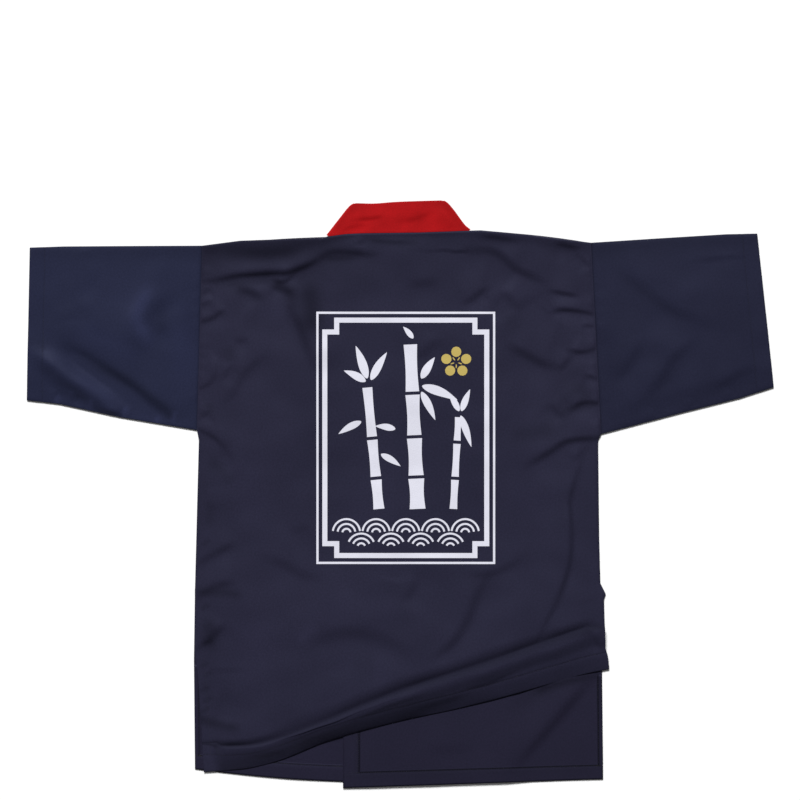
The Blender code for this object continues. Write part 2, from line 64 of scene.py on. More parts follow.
# Walls, and the middle heights of the layers from the lowest up
WALL = 0.0007
TURNED_WALL = 0.0012
BAND_WALL = 0.0016
SEAM = 0.0003
FLOOR_LAYER = 0.0006
LOW_LAPEL = 0.0008
RAISED_FRONT = 0.0025
HIGH_LAPEL = 0.0027
BACK_LOW = 0.0021
BACK_RISE = 0.0024
COLLAR_TOP = 0.0062

# Where the inner front and the right lapel lift the back panel
LIFT_LEFT = -0.125
LIFT_RIGHT = 0.142
LIFT_RUN = 0.045
FRONT_STEP = 0.137

# Corners that the pieces share
NECK_LEFT = (-0.0992, 0.3476)
NECK_RIGHT = (0.0938, 0.3557)
COLLAR_TIP_LEFT = (-0.0656, 0.3929)
COLLAR_TIP_RIGHT = (0.0602, 0.3968)
LAPEL_END_Y = -0.12
LEFT_FRONT_EDGE = 0.0763
RIGHT_FRONT_EDGE = -0.0776
COLLAR_WIDTH = 0.046

# Height of the cloth where it goes into the armhole seams
ARMHOLE_LEVEL = 0.0029

# One millimetre, and how many readings round off a corner of a table
MM = 0.001
SOFT_READS = 9
# About how far apart the places of a crease's route are, and the shares of it that fade at its ends
ROUTE_STEP = 0.006
CREASE_FADE = 0.38
SWELL_FADE = 0.3
# Where a crease's ridge and trough lie, how far each runs towards the other and on the trough's outer
# side, and how far the whole crease is felt, all as multiples of its width
RIDGE_PLACE = 0.7
RIDGE_INNER = 0.8
TROUGH_PLACE = -0.5
TROUGH_INNER = 0.7
TROUGH_OUTER = 2.6
CREASE_REACH = 7.5
# What brings the noise to about -1 to 1, and how far a seam holds the cloth flat beside it
NOISE_RANGE = 1.6
SEAM_GRIP = 0.0016
# Where the lines of cloth beside a pressed edge and beside a sewn line lie, the first ones one by one
PRESSED_LINES = (0.0, 0.0006, 0.0014, 0.0026, 0.0044)
PRESSED_CELL = 0.002
SEWN_LINES = (-0.0022, -0.0011, -0.0005, 0.0, 0.0005, 0.0011, 0.0022)
# Range in which most values of a noise node lie
MIDDLE_NOISE = (0.3, 0.7)
# Where a printed leaf bends, and how far its tip droops, as shares of its length
LEAF_BEND = 0.52
LEAF_DROOP = 0.07
# How far apart points of a tube's joined columns may lie, and a distance that stands for far away
JOIN_WITHIN = 0.00002
FAR = 1.0

Place = tuple[float, float]
Route = tuple[Place, ...]
Values = float | np.ndarray
Colour = tuple[float, float, float]
Socket = bpy.types.NodeSocket
Feed = bpy.types.NodeSocket | float | tuple[float, ...]


class Edge(NamedTuple):
    """One corner of an edge that runs across the coat."""

    x: float
    y: float


class SideRow(NamedTuple):
    """One corner of a side edge."""

    y: float
    x: float


class FoldRow(NamedTuple):
    """The fold's shape at one place across the coat.

    The turn is a share of half a turn and the overlap how far the cloth runs back under the roll. The
    crest has its own radius and rise. The fall is the power of the curve down to the hem, and the
    shoulder its share that drops steeply instead.
    """

    x: float
    turn: float
    overlap: float
    under_radius: float
    crest_radius: float
    crest_rise: float
    fall: float
    shoulder: float


class BrowRow(NamedTuple):
    """How the cloth above the fold swells and dips into it at one place across the coat."""

    x: float
    rise: float
    run: float


class FrontRow(NamedTuple):
    """One row of a front panel, from its side edge to its front edge."""

    side_x: float
    side_y: float
    edge_x: float
    edge_y: float
    bow: float


class SleeveRow(NamedTuple):
    """One section of a sleeve, from its top edge to its underarm edge."""

    top_x: float
    top_y: float
    under_x: float
    under_y: float


class ShoulderRow(NamedTuple):
    """How far the cloth falls away from the back's top edge at one place along it."""

    x: float
    run: float


class LevelRow(NamedTuple):
    """Height of the back's side edge at one place along it."""

    y: float
    z: float


def in_metres(kind: type, *rows: tuple[float, ...]) -> tuple:
    """Table with rows of one kind, given in millimetres."""
    return tuple(kind(*(MM * size for size in row)) for row in rows)


BACK_TOP = in_metres(
    Edge,
    (-268, 335.5), (-216.7, 342.2), (-122.2, 345.6), (-112, 346.4), (-107.3, 345.2), (-99.2, 347.6),
    (-74.9, 351), (-54.7, 352.1), (26.3, 353.2), (93.8, 355.7), (107.3, 356.2), (174.8, 350.3),
    (257.2, 339.5),
)
BACK_LEFT = in_metres(
    SideRow,
    (335.5, -268), (87.1, -274.7), (73.6, -272), (-88.4, -274.7), (-128.9, -277.4), (-212.6, -277.4),
    (-243.7, -273.4), (-317.9, -268.7), (-374.6, -265.3),
)
BACK_RIGHT = in_metres(
    SideRow,
    (339.5, 257.2), (81.7, 270.7), (73.6, 266.6), (-7.4, 266.6), (-119.5, 269.5), (-134.3, 277),
    (-141.5, 274.5), (-151, 274.7), (-207, 276.2), (-217, 279.5), (-234.2, 281.5),
)
SHOULDER = in_metres(
    ShoulderRow,
    (-268, 9), (-240, 11), (-200, 19), (-170, 21), (-140, 12), (-105, 8), (-85, 4), (80, 4), (100, 8),
    (130, 12), (170, 8), (225, 13), (257.2, 9),
)
BACK_SIDE_LEVEL = (
    LevelRow(0.34, ARMHOLE_LEVEL),
    LevelRow(0.085, ARMHOLE_LEVEL),
    LevelRow(0.065, 0.0014),
    LevelRow(-0.2, 0.0014),
    LevelRow(-0.23, 0.0019),
    LevelRow(-0.38, 0.0019),
)
CREST = in_metres(
    Edge,
    (-270, -335), (-240, -338.5), (-210, -337.4), (-190, -334.2), (-170, -329), (-150, -321.5),
    (-130, -314), (-90, -298.4), (-60, -285.6), (0, -262.3), (60, -242.8), (120, -223.2), (180, -202.2),
    (240, -181.5), (260, -175), (282, -181.2),
)
HEM = in_metres(
    Edge,
    (-265.3, -374.6), (-207.2, -370), (-170, -360.5), (-150, -353), (-110, -335.5), (-60, -319.5),
    (10, -302), (60, -292), (120, -277.2), (180, -260.4), (240, -243), (281.5, -234.2),
)
FOLD = (
    FoldRow(-0.27, 0.06, 0.0, 0.0026, 0.0024, 0.0024, 1.6, 0.0),
    FoldRow(-0.252, 0.12, 0.0, 0.0024, 0.0026, 0.0024, 1.6, 0.0),
    FoldRow(-0.243, 0.94, 0.001, 0.0026, 0.004, 0.0026, 1.5, 0.0),
    FoldRow(-0.207, 0.98, 0.001, 0.0032, 0.0042, 0.0032, 1.4, 0.0),
    FoldRow(-0.15, 0.98, 0.002, 0.0034, 0.005, 0.0034, 1.3, 0.0),
    FoldRow(-0.09, 0.98, 0.003, 0.003, 0.007, 0.0038, 1.35, 0.0),
    FoldRow(-0.04, 0.99, 0.005, 0.003, 0.0084, 0.0048, 1.5, 0.0),
    FoldRow(0.0, 1.0, 0.007, 0.003, 0.0092, 0.0052, 1.6, 0.02),
    FoldRow(0.09, 1.0, 0.008, 0.0024, 0.0108, 0.0048, 1.6, 0.15),
    FoldRow(0.18, 1.0, 0.009, 0.002, 0.0116, 0.0044, 1.6, 0.28),
    FoldRow(0.24, 1.0, 0.009, 0.0018, 0.012, 0.0042, 1.6, 0.3),
    FoldRow(0.265, 1.0, 0.007, 0.0016, 0.008, 0.003, 1.6, 0.28),
    FoldRow(0.282, 1.0, 0.005, 0.0014, 0.005, 0.0022, 1.6, 0.26),
)
BROW = in_metres(
    BrowRow,
    (-270, 0, 9), (-190, 0.2, 9), (-165, 0.6, 14), (-150, 1, 20), (-110, 1, 20), (-60, 1.8, 19),
    (0, 2.6, 18), (60, 2.4, 16), (120, 2.6, 18), (180, 1.8, 16), (240, 0.6, 12), (282, 0, 10),
)
FRONT_LEFT = (
    FrontRow(-0.2774, -0.3706, LEFT_FRONT_EDGE, -0.387, -0.008),
    FrontRow(-0.2788, -0.2234, LEFT_FRONT_EDGE, -0.23, 0.0),
    FrontRow(-0.2774, -0.1289, LEFT_FRONT_EDGE, LAPEL_END_Y, 0.0),
    FrontRow(-0.272, 0.079, -0.0015, 0.087, 0.0),
    FrontRow(-0.268, 0.3355, NECK_LEFT[0], NECK_LEFT[1], 0.002),
)
FRONT_RIGHT = (
    FrontRow(0.2734, -0.3841, RIGHT_FRONT_EDGE, -0.3962, 0.0),
    FrontRow(0.272, -0.2369, RIGHT_FRONT_EDGE, -0.235, 0.0),
    FrontRow(0.2745, -0.14, RIGHT_FRONT_EDGE, -0.138, 0.0),
    FrontRow(0.2688, -0.118, RIGHT_FRONT_EDGE, LAPEL_END_Y, 0.0),
    FrontRow(0.2666, 0.074, -0.002, 0.0898, 0.0),
    FrontRow(0.2572, 0.3395, NECK_RIGHT[0], NECK_RIGHT[1], 0.003),
)
SLEEVE_LEFT = in_metres(
    SleeveRow,
    (-267.6, 335.5, -274.3, 87.1), (-378.7, 335, -378.7, 104.6), (-456, 334.5, -459.7, 122.2),
    (-500.2, 332.8, -504.2, 127.6),
)
SLEEVE_RIGHT = in_metres(
    SleeveRow,
    (256.8, 339.5, 270.3, 81.7), (350, 345.5, 377.3, 110), (440, 351, 458.3, 130.3),
    (481.3, 351.7, 503.5, 145.1),
)


def mix(start: Values, end: Values, share: Values) -> Values:
    """Value at a share of the way from start to end."""
    return start + (end - start) * share


def ease(share: Values) -> Values:
    """Smooth step from 0 to 1, flat at both ends."""
    held = np.clip(share, 0.0, 1.0)
    return held * held * (3.0 - 2.0 * held)


def bell(away: Values, width: Values) -> Values:
    """Soft bell: 1 where the distance is 0, and gone a few widths away."""
    return np.exp(-np.square(away / width))


def column_of(rows: tuple, name: str) -> np.ndarray:
    """One named column of a table as an array."""
    return np.array([getattr(row, name) for row in rows])


def read(rows: tuple, key: str, column: str, value: Values) -> Values:
    """Column of a table at values of its key column, straight between the rows.

    Args:
        rows: The table.
        key: Name of its key column.
        column: Name of the column to read.
        value: Values of the key column.

    Returns:
        The column's values there.
    """
    keys = column_of(rows, key)
    values = column_of(rows, column)
    if keys[0] > keys[-1]:
        keys, values = keys[::-1], values[::-1]
    return np.interp(value, keys, values)


def soft_read(rows: tuple, key: str, column: str, value: Values, reach: float) -> Values:
    """Column of a table like read, its corners rounded over the reach to both sides."""
    offsets = np.linspace(-1.0, 1.0, SOFT_READS)
    return sum(read(rows, key, column, value + reach * offset) for offset in offsets) / len(offsets)


def stretches(*parts: tuple[float, float]) -> np.ndarray:
    """Shares of a length that is divided evenly within each of its stretches.

    Args:
        *parts: Where each stretch ends, and about how far apart its lines lie.

    Returns:
        Rising shares from 0 to 1.
    """
    places = [0.0]
    for end, cell in parts:
        start = places[-1]
        count = max(1, round((end - start) / cell))
        places.extend(mix(start, end, (index + 1) / count) for index in range(count))
    return np.array(places) / places[-1]


def settle(height: np.ndarray, softness: float) -> np.ndarray:
    """Heights kept above 0, with a soft bend where they would go below."""
    return 0.5 * (height + np.sqrt(height ** 2 + softness ** 2))


def walked_lengths(path: np.ndarray) -> np.ndarray:
    """Length of the way along a path to each of its places."""
    return np.concatenate([[0.0], np.cumsum(np.linalg.norm(np.diff(path, axis=0), axis=1))])


def on_way(walked: np.ndarray, rows: np.ndarray, place: Values) -> np.ndarray:
    """Columns of numbers that go with the places of a path, read at other places along it."""
    return np.array([np.interp(place, walked, column) for column in rows.T])


def smooth_route(route: Route | np.ndarray, step: float) -> np.ndarray:
    """Places along a smooth curve through the given ones.

    Args:
        route: Places that the curve goes through.
        step: About how far apart the places of the result are.

    Returns:
        The places, one row each.
    """
    knots = np.array(route, float)
    padded = np.vstack([2 * knots[0] - knots[1], knots, 2 * knots[-1] - knots[-2]])
    places = []
    for index in range(len(knots) - 1):
        before, start, end, after = padded[index:index + 4]
        count = max(2, math.ceil(np.linalg.norm(end - start) / step))
        t = (np.arange(count) / count)[:, None]
        bend = (2 * before - 5 * start + 4 * end - after) * t ** 2
        twist = (3 * start - before - 3 * end + after) * t ** 3
        places.append(0.5 * (2 * start + (end - before) * t + bend + twist))
    places.append(knots[-1:])
    return np.vstack(places)


def beside(path: np.ndarray, x: np.ndarray, y: np.ndarray) -> tuple[np.ndarray, np.ndarray]:
    """Where points lie beside a path.

    Args:
        path: Places along the path.
        x: Places of the points across the coat.
        y: Places of the points along the coat.

    Returns:
        How far each point lies to the path's left, and its share of the way along it.
    """
    least = np.full(x.shape, np.inf)
    side = np.ones(x.shape)
    place = np.zeros(x.shape)
    walked = 0.0
    for (ax, ay), (bx, by) in zip(path, path[1:]):
        length = math.hypot(bx - ax, by - ay)
        ux, uy = (bx - ax) / length, (by - ay) / length
        along = np.clip((x - ax) * ux + (y - ay) * uy, 0.0, length)
        away = np.hypot(x - ax - ux * along, y - ay - uy * along)
        closer = away < least
        least = np.where(closer, away, least)
        side = np.where(closer, np.where(ux * (y - ay) - uy * (x - ax) < 0.0, -1.0, 1.0), side)
        place = np.where(closer, walked + along, place)
        walked += length
    return least * side, place / walked


@dataclass(frozen=True)
class Ramp:
    """Soft change from 0 to 1 over a run that begins at a start, downward where the run is negative."""

    start: float
    run: float

    def at(self, value: Values) -> Values:
        """Share of the change that is made at a value."""
        return ease((value - self.start) / self.run)


def fading_ends(share: np.ndarray, start: float, end: float, run: float) -> np.ndarray:
    """Strength of a crease along its route: start and end at its ends, and 1 further than run from both."""
    return mix(start, 1.0, ease(share / run)) * mix(end, 1.0, ease((1.0 - share) / run))


@dataclass(frozen=True)
class Crease:
    """A soft step in the cloth: a ridge on the left of its route and a trough on its right.

    Start and end are its strengths at both ends of the route. The spread is how far the ridge runs out
    on its own side, as a multiple of the width.
    """

    route: Route
    width: float
    rise: float
    sink: float
    start: float = 0.0
    end: float = 0.0
    spread: float = 3.6

    def height(self, x: np.ndarray, y: np.ndarray) -> np.ndarray:
        """Height that the crease adds at points.

        Args:
            x: Places of the points across the coat.
            y: Places of the points along the coat.

        Returns:
            The heights in millimetres, fading to both ends and both sides.
        """
        path = smooth_route(MM * np.array(self.route), ROUTE_STEP)
        reach = CREASE_REACH * MM * self.width
        near = (x > path[:, 0].min() - reach) & (x < path[:, 0].max() + reach)
        near &= (y > path[:, 1].min() - reach) & (y < path[:, 1].max() + reach)
        result = np.zeros_like(x)
        if not near.any():
            return result
        away, share = beside(path, x[near], y[near])
        from_ridge = away / (MM * self.width) - RIDGE_PLACE
        from_trough = away / (MM * self.width) - TROUGH_PLACE
        ridge = bell(from_ridge, np.where(from_ridge > 0.0, self.spread, RIDGE_INNER))
        trough = bell(from_trough, np.where(from_trough < 0.0, TROUGH_OUTER, TROUGH_INNER))
        ends = fading_ends(share, self.start, self.end, CREASE_FADE)
        result[near] = (self.rise * ridge - self.sink * trough) * ends
        return result


@dataclass(frozen=True)
class Swell:
    """A soft ridge, or a hollow where its rise is negative, even on both sides of its route.

    Start and end are its strengths at both ends of the route.
    """

    route: Route
    width: float
    rise: float
    start: float = 0.0
    end: float = 0.0

    def height(self, x: np.ndarray, y: np.ndarray) -> np.ndarray:
        """Height that the swell adds at points.

        Args:
            x: Places of the points across the coat.
            y: Places of the points along the coat.

        Returns:
            The heights in the unit of the rise, fading to both ends and both sides.
        """
        away, share = beside(smooth_route(MM * np.array(self.route), ROUTE_STEP), x, y)
        ends = fading_ends(share, self.start, self.end, SWELL_FADE)
        return self.rise * bell(away, MM * self.width) * ends


@dataclass(frozen=True)
class Ripple:
    """Smooth uneven swell of a whole piece of cloth, its seed choosing one pattern."""

    rise: float
    size: float
    seed: float

    def height(self, x: np.ndarray, y: np.ndarray) -> np.ndarray:
        """Height that the ripple adds at points.

        Args:
            x: Places of the points across the coat.
            y: Places of the points along the coat.

        Returns:
            The heights in millimetres, up to about the rise and as far down.
        """
        size = MM * self.size
        flat = [noise.noise(Vector((a / size, b / size, self.seed))) for a, b in zip(x.ravel(), y.ravel())]
        return self.rise * NOISE_RANGE * np.array(flat).reshape(x.shape)


@dataclass(frozen=True)
class Pucker:
    """Uneven gathers that a seam draws into the cloth beside it."""

    rise: float
    pitch: float
    reach: float
    seed: float

    def height(self, place: np.ndarray, away: np.ndarray) -> np.ndarray:
        """Height of the gathers in millimetres, none at the seam itself and gone past the reach."""
        gathers = Ripple(self.rise, self.pitch, self.seed).height(place, np.full_like(place, self.seed))
        return gathers * bell(away, MM * self.reach) * (1.0 - bell(away, SEAM_GRIP))


def tone(marks: tuple, x: np.ndarray, y: np.ndarray) -> np.ndarray:
    """Sum of swells, creases and ripples at points, in the unit of their heights."""
    return sum((mark.height(x, y) for mark in marks), np.zeros_like(x))


def relief(marks: tuple, x: np.ndarray, y: np.ndarray) -> np.ndarray:
    """Sum of swells, creases and ripples at points, brought from millimetres to metres."""
    return MM * tone(marks, x, y)


COLLAR_CREASES = (
    Crease(((-68, 371.5), (-44, 372), (-18, 376)), 2.6, 0.8, 0.8),
    Crease(((78, 361), (64, 378), (54, 392)), 5.6, 1.2, 0.6),
    Crease(((-10, 368), (22, 372), (50, 384)), 6.5, 1, 0.6),
    Crease(((-84, 353), (-60, 362), (-36, 364)), 5, 0.8, 0.6),
    Ripple(0.3, 22, 5.1),
)
BACK_CREASES = (
    # Upper left: the long fold from the armhole to the neck, and what branches off it
    Crease(((-268, 287.2), (-250.4, 288.6), (-223.4, 294), (-196.4, 296.7), (-169.4, 298.5), (-154, 298.5),
            (-133, 305.5), (-122.2, 310), (-108.5, 318), (-96, 326), (-79, 333)), 6.4, 3.1, 2.5, start=0.4,
            spread=2.2),
    Crease(((-116, 321.5), (-93, 326.5), (-69, 326.2), (-46, 323.5), (-22, 323.5)), 8, 1.3, 2.2),
    Crease(((-50, 329), (-56, 337), (-48, 346)), 3.6, 1.3, 0.5),
    Crease(((-176.7, 293.8), (-158, 286), (-137, 303.8)), 3.6, 1.6, 1),
    Crease(((-180, 281), (-160, 277), (-140, 268)), 8.5, 1.8, 1.6),
    Crease(((-226, 277), (-200.5, 272), (-184, 258)), 9.5, 1.4, 1.4),
    Crease(((-158, 270), (-150, 251.9), (-135, 222), (-121.9, 184.3), (-111, 156)), 12, 2.8, 2),
    Crease(((-268, 271), (-254, 279)), 4.2, 0.8, 1, start=1),
    Crease(((-268, 256), (-252, 261)), 4.2, 0.7, 1, start=1),
    Crease(((-268, 233), (-253, 238), (-245, 244), (-233, 249)), 4.6, 1.8, 1.4, start=1),
    Crease(((-268, 145), (-255, 152), (-248, 172), (-252, 198)), 3.8, 1.3, 0.8, start=1),
    Crease(((-244, 149), (-226, 178)), 6.5, 0.8, 0.9),
    Crease(((-250, 112), (-225, 137), (-209, 163), (-172, 197)), 11, 1.2, 1),
    Crease(((-226, 206), (-203, 209)), 7.5, 0.5, 1),
    Crease(((-269, 104), (-257, 112)), 5, 0.7, 1.2, start=0.6),
    Crease(((-270, 86), (-250, 76), (-236, 58)), 5, 1.7, 1.3, start=1),
    Crease(((-246, 72), (-228, 48), (-230, 18)), 10, 1.2, 1.4),
    Crease(((-265, 12), (-259, -26)), 7, 0.8, 1.1),
    # Upper right
    Crease(((98, 349), (130, 346), (166, 340)), 6, 1, 1.2),
    Crease(((203, 340), (222, 336), (246, 329)), 7, 1.6, 1.4),
    Crease(((92, 328), (127, 326.2), (153.6, 304.6), (173.5, 295), (206, 279)), 11, 2, 2.4, start=0.4,
            spread=5),
    Crease(((196, 276), (218, 271.2), (246, 267)), 4.4, 1.2, 1.2),
    Crease(((234, 330), (243, 320), (257, 301)), 5.6, 1, 1.1),
    Crease(((80, 254), (94, 261.4), (114, 276.4), (124, 275)), 7, 1.4, 1.4),
    Crease(((132, 276), (148, 262), (160, 244)), 11, 1.3, 1.3),
    Crease(((201, 238), (210, 248), (233.4, 248), (262, 243)), 4.8, 1.9, 1.7, end=1),
    Crease(((244, 228), (262, 227)), 3.4, 0.9, 0.9, end=1),
    Crease(((224, 199), (239.6, 191.7), (266, 196.5)), 5, 1.6, 1.7, end=1),
    Crease(((136, 206), (173.5, 185.1), (193.5, 175), (218.5, 168.3)), 12, 2.2, 2.2),
    Crease(((212, 164), (222, 176), (233, 190)), 4, 1.2, 0.4),
    Crease(((246, 163), (272, 153)), 4.2, 1, 1.3, end=1),
    Crease(((226, 112), (246.4, 123.5), (274, 122.2)), 6.2, 2, 2.2, end=1),
    Crease(((196, 126), (210, 112), (222, 98)), 8.5, 0.8, 1),
    Crease(((160, 31), (180, 44), (203, 58), (228, 72.2), (272, 75)), 8, 2.5, 2, end=1),
    Crease(((232, 42), (244, 56), (254, 70)), 6, 1, 0.8),
    Crease(((18, 177), (38, 196), (56, 214)), 11, 1, 1.2),
    Crease(((5, 281), (30, 284), (55, 287)), 12, 0.8, 1),
    # Below the print, and along both sides
    Crease(((-273, -94), (-246, -78), (-217, -64)), 7.5, 1.8, 1.4, start=1),
    Crease(((-275, -141), (-252, -125), (-218, -117)), 7.5, 1.6, 1.4, start=0.8),
    Crease(((-202, -78), (-157, -95), (-130, -110), (-93, -114)), 13, 1.3, 1.3),
    Crease(((-274, -210), (-254, -193), (-233, -170)), 8.5, 2.4, 2, start=1),
    Crease(((-250, -318), (-246, -285), (-237, -260)), 10, 1, 1.2),
    Crease(((-142, -229), (-114.9, -199.3), (-69.5, -187.5), (-31.2, -194), (-0.7, -209.5), (30, -234)), 19,
            3.2, 0.8, spread=2.7),
    Crease(((0, -151), (20, -122), (17, -98)), 10, 1.2, 1.1),
    Crease(((31, -230), (67.8, -203), (90.6, -169.4), (106, -131.6), (128, -98)), 10, 2.8, 2),
    Crease(((80, -106), (113.5, -108.7), (145, -98), (174.4, -78)), 10, 1.2, 1.1),
    Crease(((188, -190), (197.1, -170.8), (211.3, -143.8), (227.5, -96.5), (231, -50), (228.8, -8.8),
            (235.6, 18.2), (245, 45.2), (256, 66)), 6.2, 2, 1.6, start=0.4),
    Crease(((-154, -53), (-118, -43)), 13, 0.6, 0.9),
    Crease(((-275, -235.5), (-238, -237), (-200, -238)), 2.2, 0.3, 0.3, start=1),
)
# Painted shade on the cloth and, where negative, painted light, their heights as shares of its colour
BACK_PAINTED_SHADING = (
    Swell(((-230, 280), (-205, 273), (-184, 260)), 8.5, 0.22, 0.3, 0.4),
    Swell(((-178, 288), (-163, 282.5), (-150, 272), (-146, 256)), 9, 0.38, 0.3, 0.5),
    Swell(((-146, 252), (-132, 222), (-120, 186)), 10, 0.1, 0.4, 0.2),
    Swell(((-130, 290), (-123, 272), (-119, 240), (-118, 210)), 17, 0.46, 0.4, 0.2),
    Swell(((-100, 300), (-20, 296)), 28, 0.14, 0.3, 0.3),
    Swell(((20, 290), (100, 288)), 20, 0.07, 0.3, 0.3),
    Swell(((-110, 319), (-88.4, 319), (-56, 319.5)), 5, 0.26, 0.3, 0.3),
    Swell(((-50, 344), (-12, 340.2), (18, 340)), 4, 0.32, 0.3, 0.5),
    Swell(((-194, 256), (-168, 248), (-156, 236)), 15, -0.12),
    Swell(((-220, 55), (-190, -55)), 35, -0.17, 0.4, 0.4),
    Swell(((-210, -155), (-195, -270)), 33, -0.16, 0.3, 0.5),
    Swell(((140, 2), (222, -15)), 26, -0.11, 0.4),
    Swell(((-142, -202), (-126, -187), (-108, -176)), 11, -0.18),
    Swell(((-72, -230), (-30, -232)), 24, 0.11),
    Swell(((-263, 48), (-238, 30), (-228, 8)), 8.5, 0.22),
    Swell(((-259, -2), (-257, -48)), 7, 0.15),
    Swell(((-233, 203), (-229, 176)), 9, 0.17),
    Swell(((-260, 125), (-257, 108)), 7, 0.18),
    Swell(((140, 256), (160, 214)), 15, 0.13),
    Swell(((236, 152), (258, 126)), 11, 0.17, 0.2, 0.4),
    Swell(((218, 112), (264, 121)), 5, 0.2, 0.2, 0.8),
    Swell(((-100, -150), (-40, -148), (10, -160)), 18, -0.1),
    Swell(((140, 82), (180, 84), (214, 92)), 12, 0.22, 0.3, 0.3),
    Swell(((197.1, -170.8), (211.3, -143.8), (227.5, -96.5), (231, -50), (228.8, -8.8), (235.6, 18.2),
            (245, 45.2), (254, 64)), 2.8, 0.12, 0.6, 0.6),
    Swell(((-245, 283.8), (-215, 286.5), (-190, 288.5), (-170, 290.5)), 6, 0.2, 0.3, 0.3),
    Swell(((-228, 326), (-196, 325), (-160, 326.5), (-125, 333)), 9.5, 0.24, 0.3, 0.3),
    Swell(((206, 98), (228, 135), (232, 160)), 18, 0.16, 0.4, 0.4),
    Swell(((-259, -160), (-257, -188), (-257, -216)), 11.5, 0.3, 0.2, 0.2),
    Swell(((-264, -248), (-256, -276)), 8, 0.1, 0.3, 0.3),
    *(Swell(((x - 9, y - 5), (x + 8, y + 4)), 2.7, 0.26)
      for x, y in ((-262, -64), (-263, -151), (-259, -198), (-264, -229), (-258, -241), (-264, -262),
                   (-259, -276), (-263, -290))),
    Swell(((-270, -131.5), (-230, -133), (-208, -139)), 6.2, 0.32, 1),
    Swell(((-268, -304), (-237, -312), (-210, -316)), 6.8, 0.36, 1),
)
ROLL_CREASES = (
    Crease(((-90, -317), (-20, -286), (50, -262)), 6, 0.6, 0.7),
    Crease(((70, -268), (90, -261), (120, -253), (150, -240), (165, -236)), 5, 0.6, 0.9),
    Crease(((10, -292), (62, -277), (105, -264)), 5.2, 0.5, 0.9),
    Crease(((255, -176), (262, -194), (272, -212)), 3.8, 1.2, 1),
    Crease(((-215, -352), (-180, -350), (-140, -340)), 6, 0.5, 0.8),
)
FRONT_RIGHT_CREASES = (
    Crease(((142, -380), (159, -364), (199, -319), (251, -258), (274, -232)), 9, 3.6, 0.6),
    Crease(((20, -335), (60, -345), (110, -338)), 12, 0.7, 0.2),
    Crease(((100, -100), (160, -60), (220, -40)), 9, 1, 0.2),
    Crease(((110, 200), (170, 180), (240, 190)), 9, 1, 0.2),
    Crease(((150, 20), (200, 60), (255, 75)), 8, 1.2, 0.2),
)
# Painted shadow that the roll casts on the front below it, its heights as shares of the colour
FRONT_RIGHT_PAINTED_SHADOW = (
    Swell(((150, -287), (180, -270), (204, -256)), 12, 0.14, 0.3, 0.3),
    Swell(((168, -269.5), (215.3, -254.5), (264, -243.5)), 6.2, 0.46, 0.1, 0.7),
)
FRONT_LEFT_CREASES = (
    Crease(((-60, -352), (-20, -345), (30, -350)), 12, 0.6, 0.2),
    Crease(((-240, -180), (-180, -140), (-120, -150)), 9, 1, 0.2),
    Crease(((-250, 80), (-200, 60), (-160, 20)), 8, 1.2, 0.2),
    Crease(((-240, 220), (-180, 200), (-130, 220)), 9, 1, 0.2),
)
LEFT_SLEEVE_CREASES = (
    # The valley and the ridge that run down to the underarm seam
    Swell(((-470, 255), (-410, 225), (-340, 185)), 42, 1.1),
    Swell(((-466, 208), (-438, 184), (-398, 157), (-360, 129), (-334, 102)), 11, -5.8, end=1),
    Swell(((-500, 205), (-485, 188), (-462, 169), (-430, 145), (-390, 112)), 12.5, 6.6, end=1),
    Swell(((-322, 282), (-350, 248), (-362, 226), (-344, 190)), 18, 2.2),
    Swell(((-286, 272), (-316, 252), (-334, 235), (-325, 212), (-308, 196)), 12, -1.1),
    Crease(((-440, 262), (-420, 240), (-424, 216)), 15, 0.7, 0.7),
    Crease(((-465, 130), (-462, 142)), 4, 1, 0.6, start=1),
    Crease(((-442, 124), (-436, 138)), 4, 1.2, 0.7, start=1),
    Crease(((-418, 118), (-410, 130)), 3.8, 0.4, 0.3, start=1),
    Crease(((-366, 106), (-360, 118)), 4, 1.1, 0.7, start=1),
    Crease(((-338, 101), (-330, 114)), 3.8, 1, 0.6, start=1),
    Crease(((-304, 96), (-298, 108)), 4, 0.4, 0.3, start=1),
)
# Painted shade in the sleeve's valley and hollows, and painted light, where negative, on its ridges and
# swells, as shares of its colour
LEFT_SLEEVE_PAINTED_SHADING = (
    Swell(((-426, 187), (-405.7, 173.5), (-365.2, 150.5), (-324.7, 121), (-310, 108)), 7.5, 0.38, 0.3, 1),
    Swell(((-446, 164), (-405.7, 139), (-376, 117)), 8, -0.14),
    Swell(((-332, 290), (-354, 248), (-352, 230), (-340, 207), (-332, 193)), 10, -0.48),
    Swell(((-321.3, 254), (-321.3, 234), (-322, 212)), 9, 0.12),
    Swell(((-298, 245), (-294, 200), (-288, 140)), 20, -0.26, 0.3, 0.4),
    Swell(((-470, 128), (-380, 105), (-290, 87)), 9, -0.2, 0.5, 0.5),
    *(Swell(((x - 1, y - 9), (x + 3, y + 6)), 3.4, -0.42, 1)
      for x, y in ((-464, 131), (-418.5, 125), (-372, 115), (-329, 103), (-306, 109))),
    Swell(((-440, 228), (-400, 208), (-345, 184)), 15, -0.19, 0.3),
    Swell(((-492, 206), (-476, 195)), 8, 0.16, 0.6),
)
# Painted shade along two of the sleeve's creases, as shares of its colour
RIGHT_SLEEVE_PAINTED_SHADE = (
    Swell(((283.9, 307.5), (329.5, 271.4), (390.6, 229.5)), 7, 0.08),
    Swell(((386.6, 199), (356.3, 149.4), (325.8, 114.1)), 7, 0.06),
)
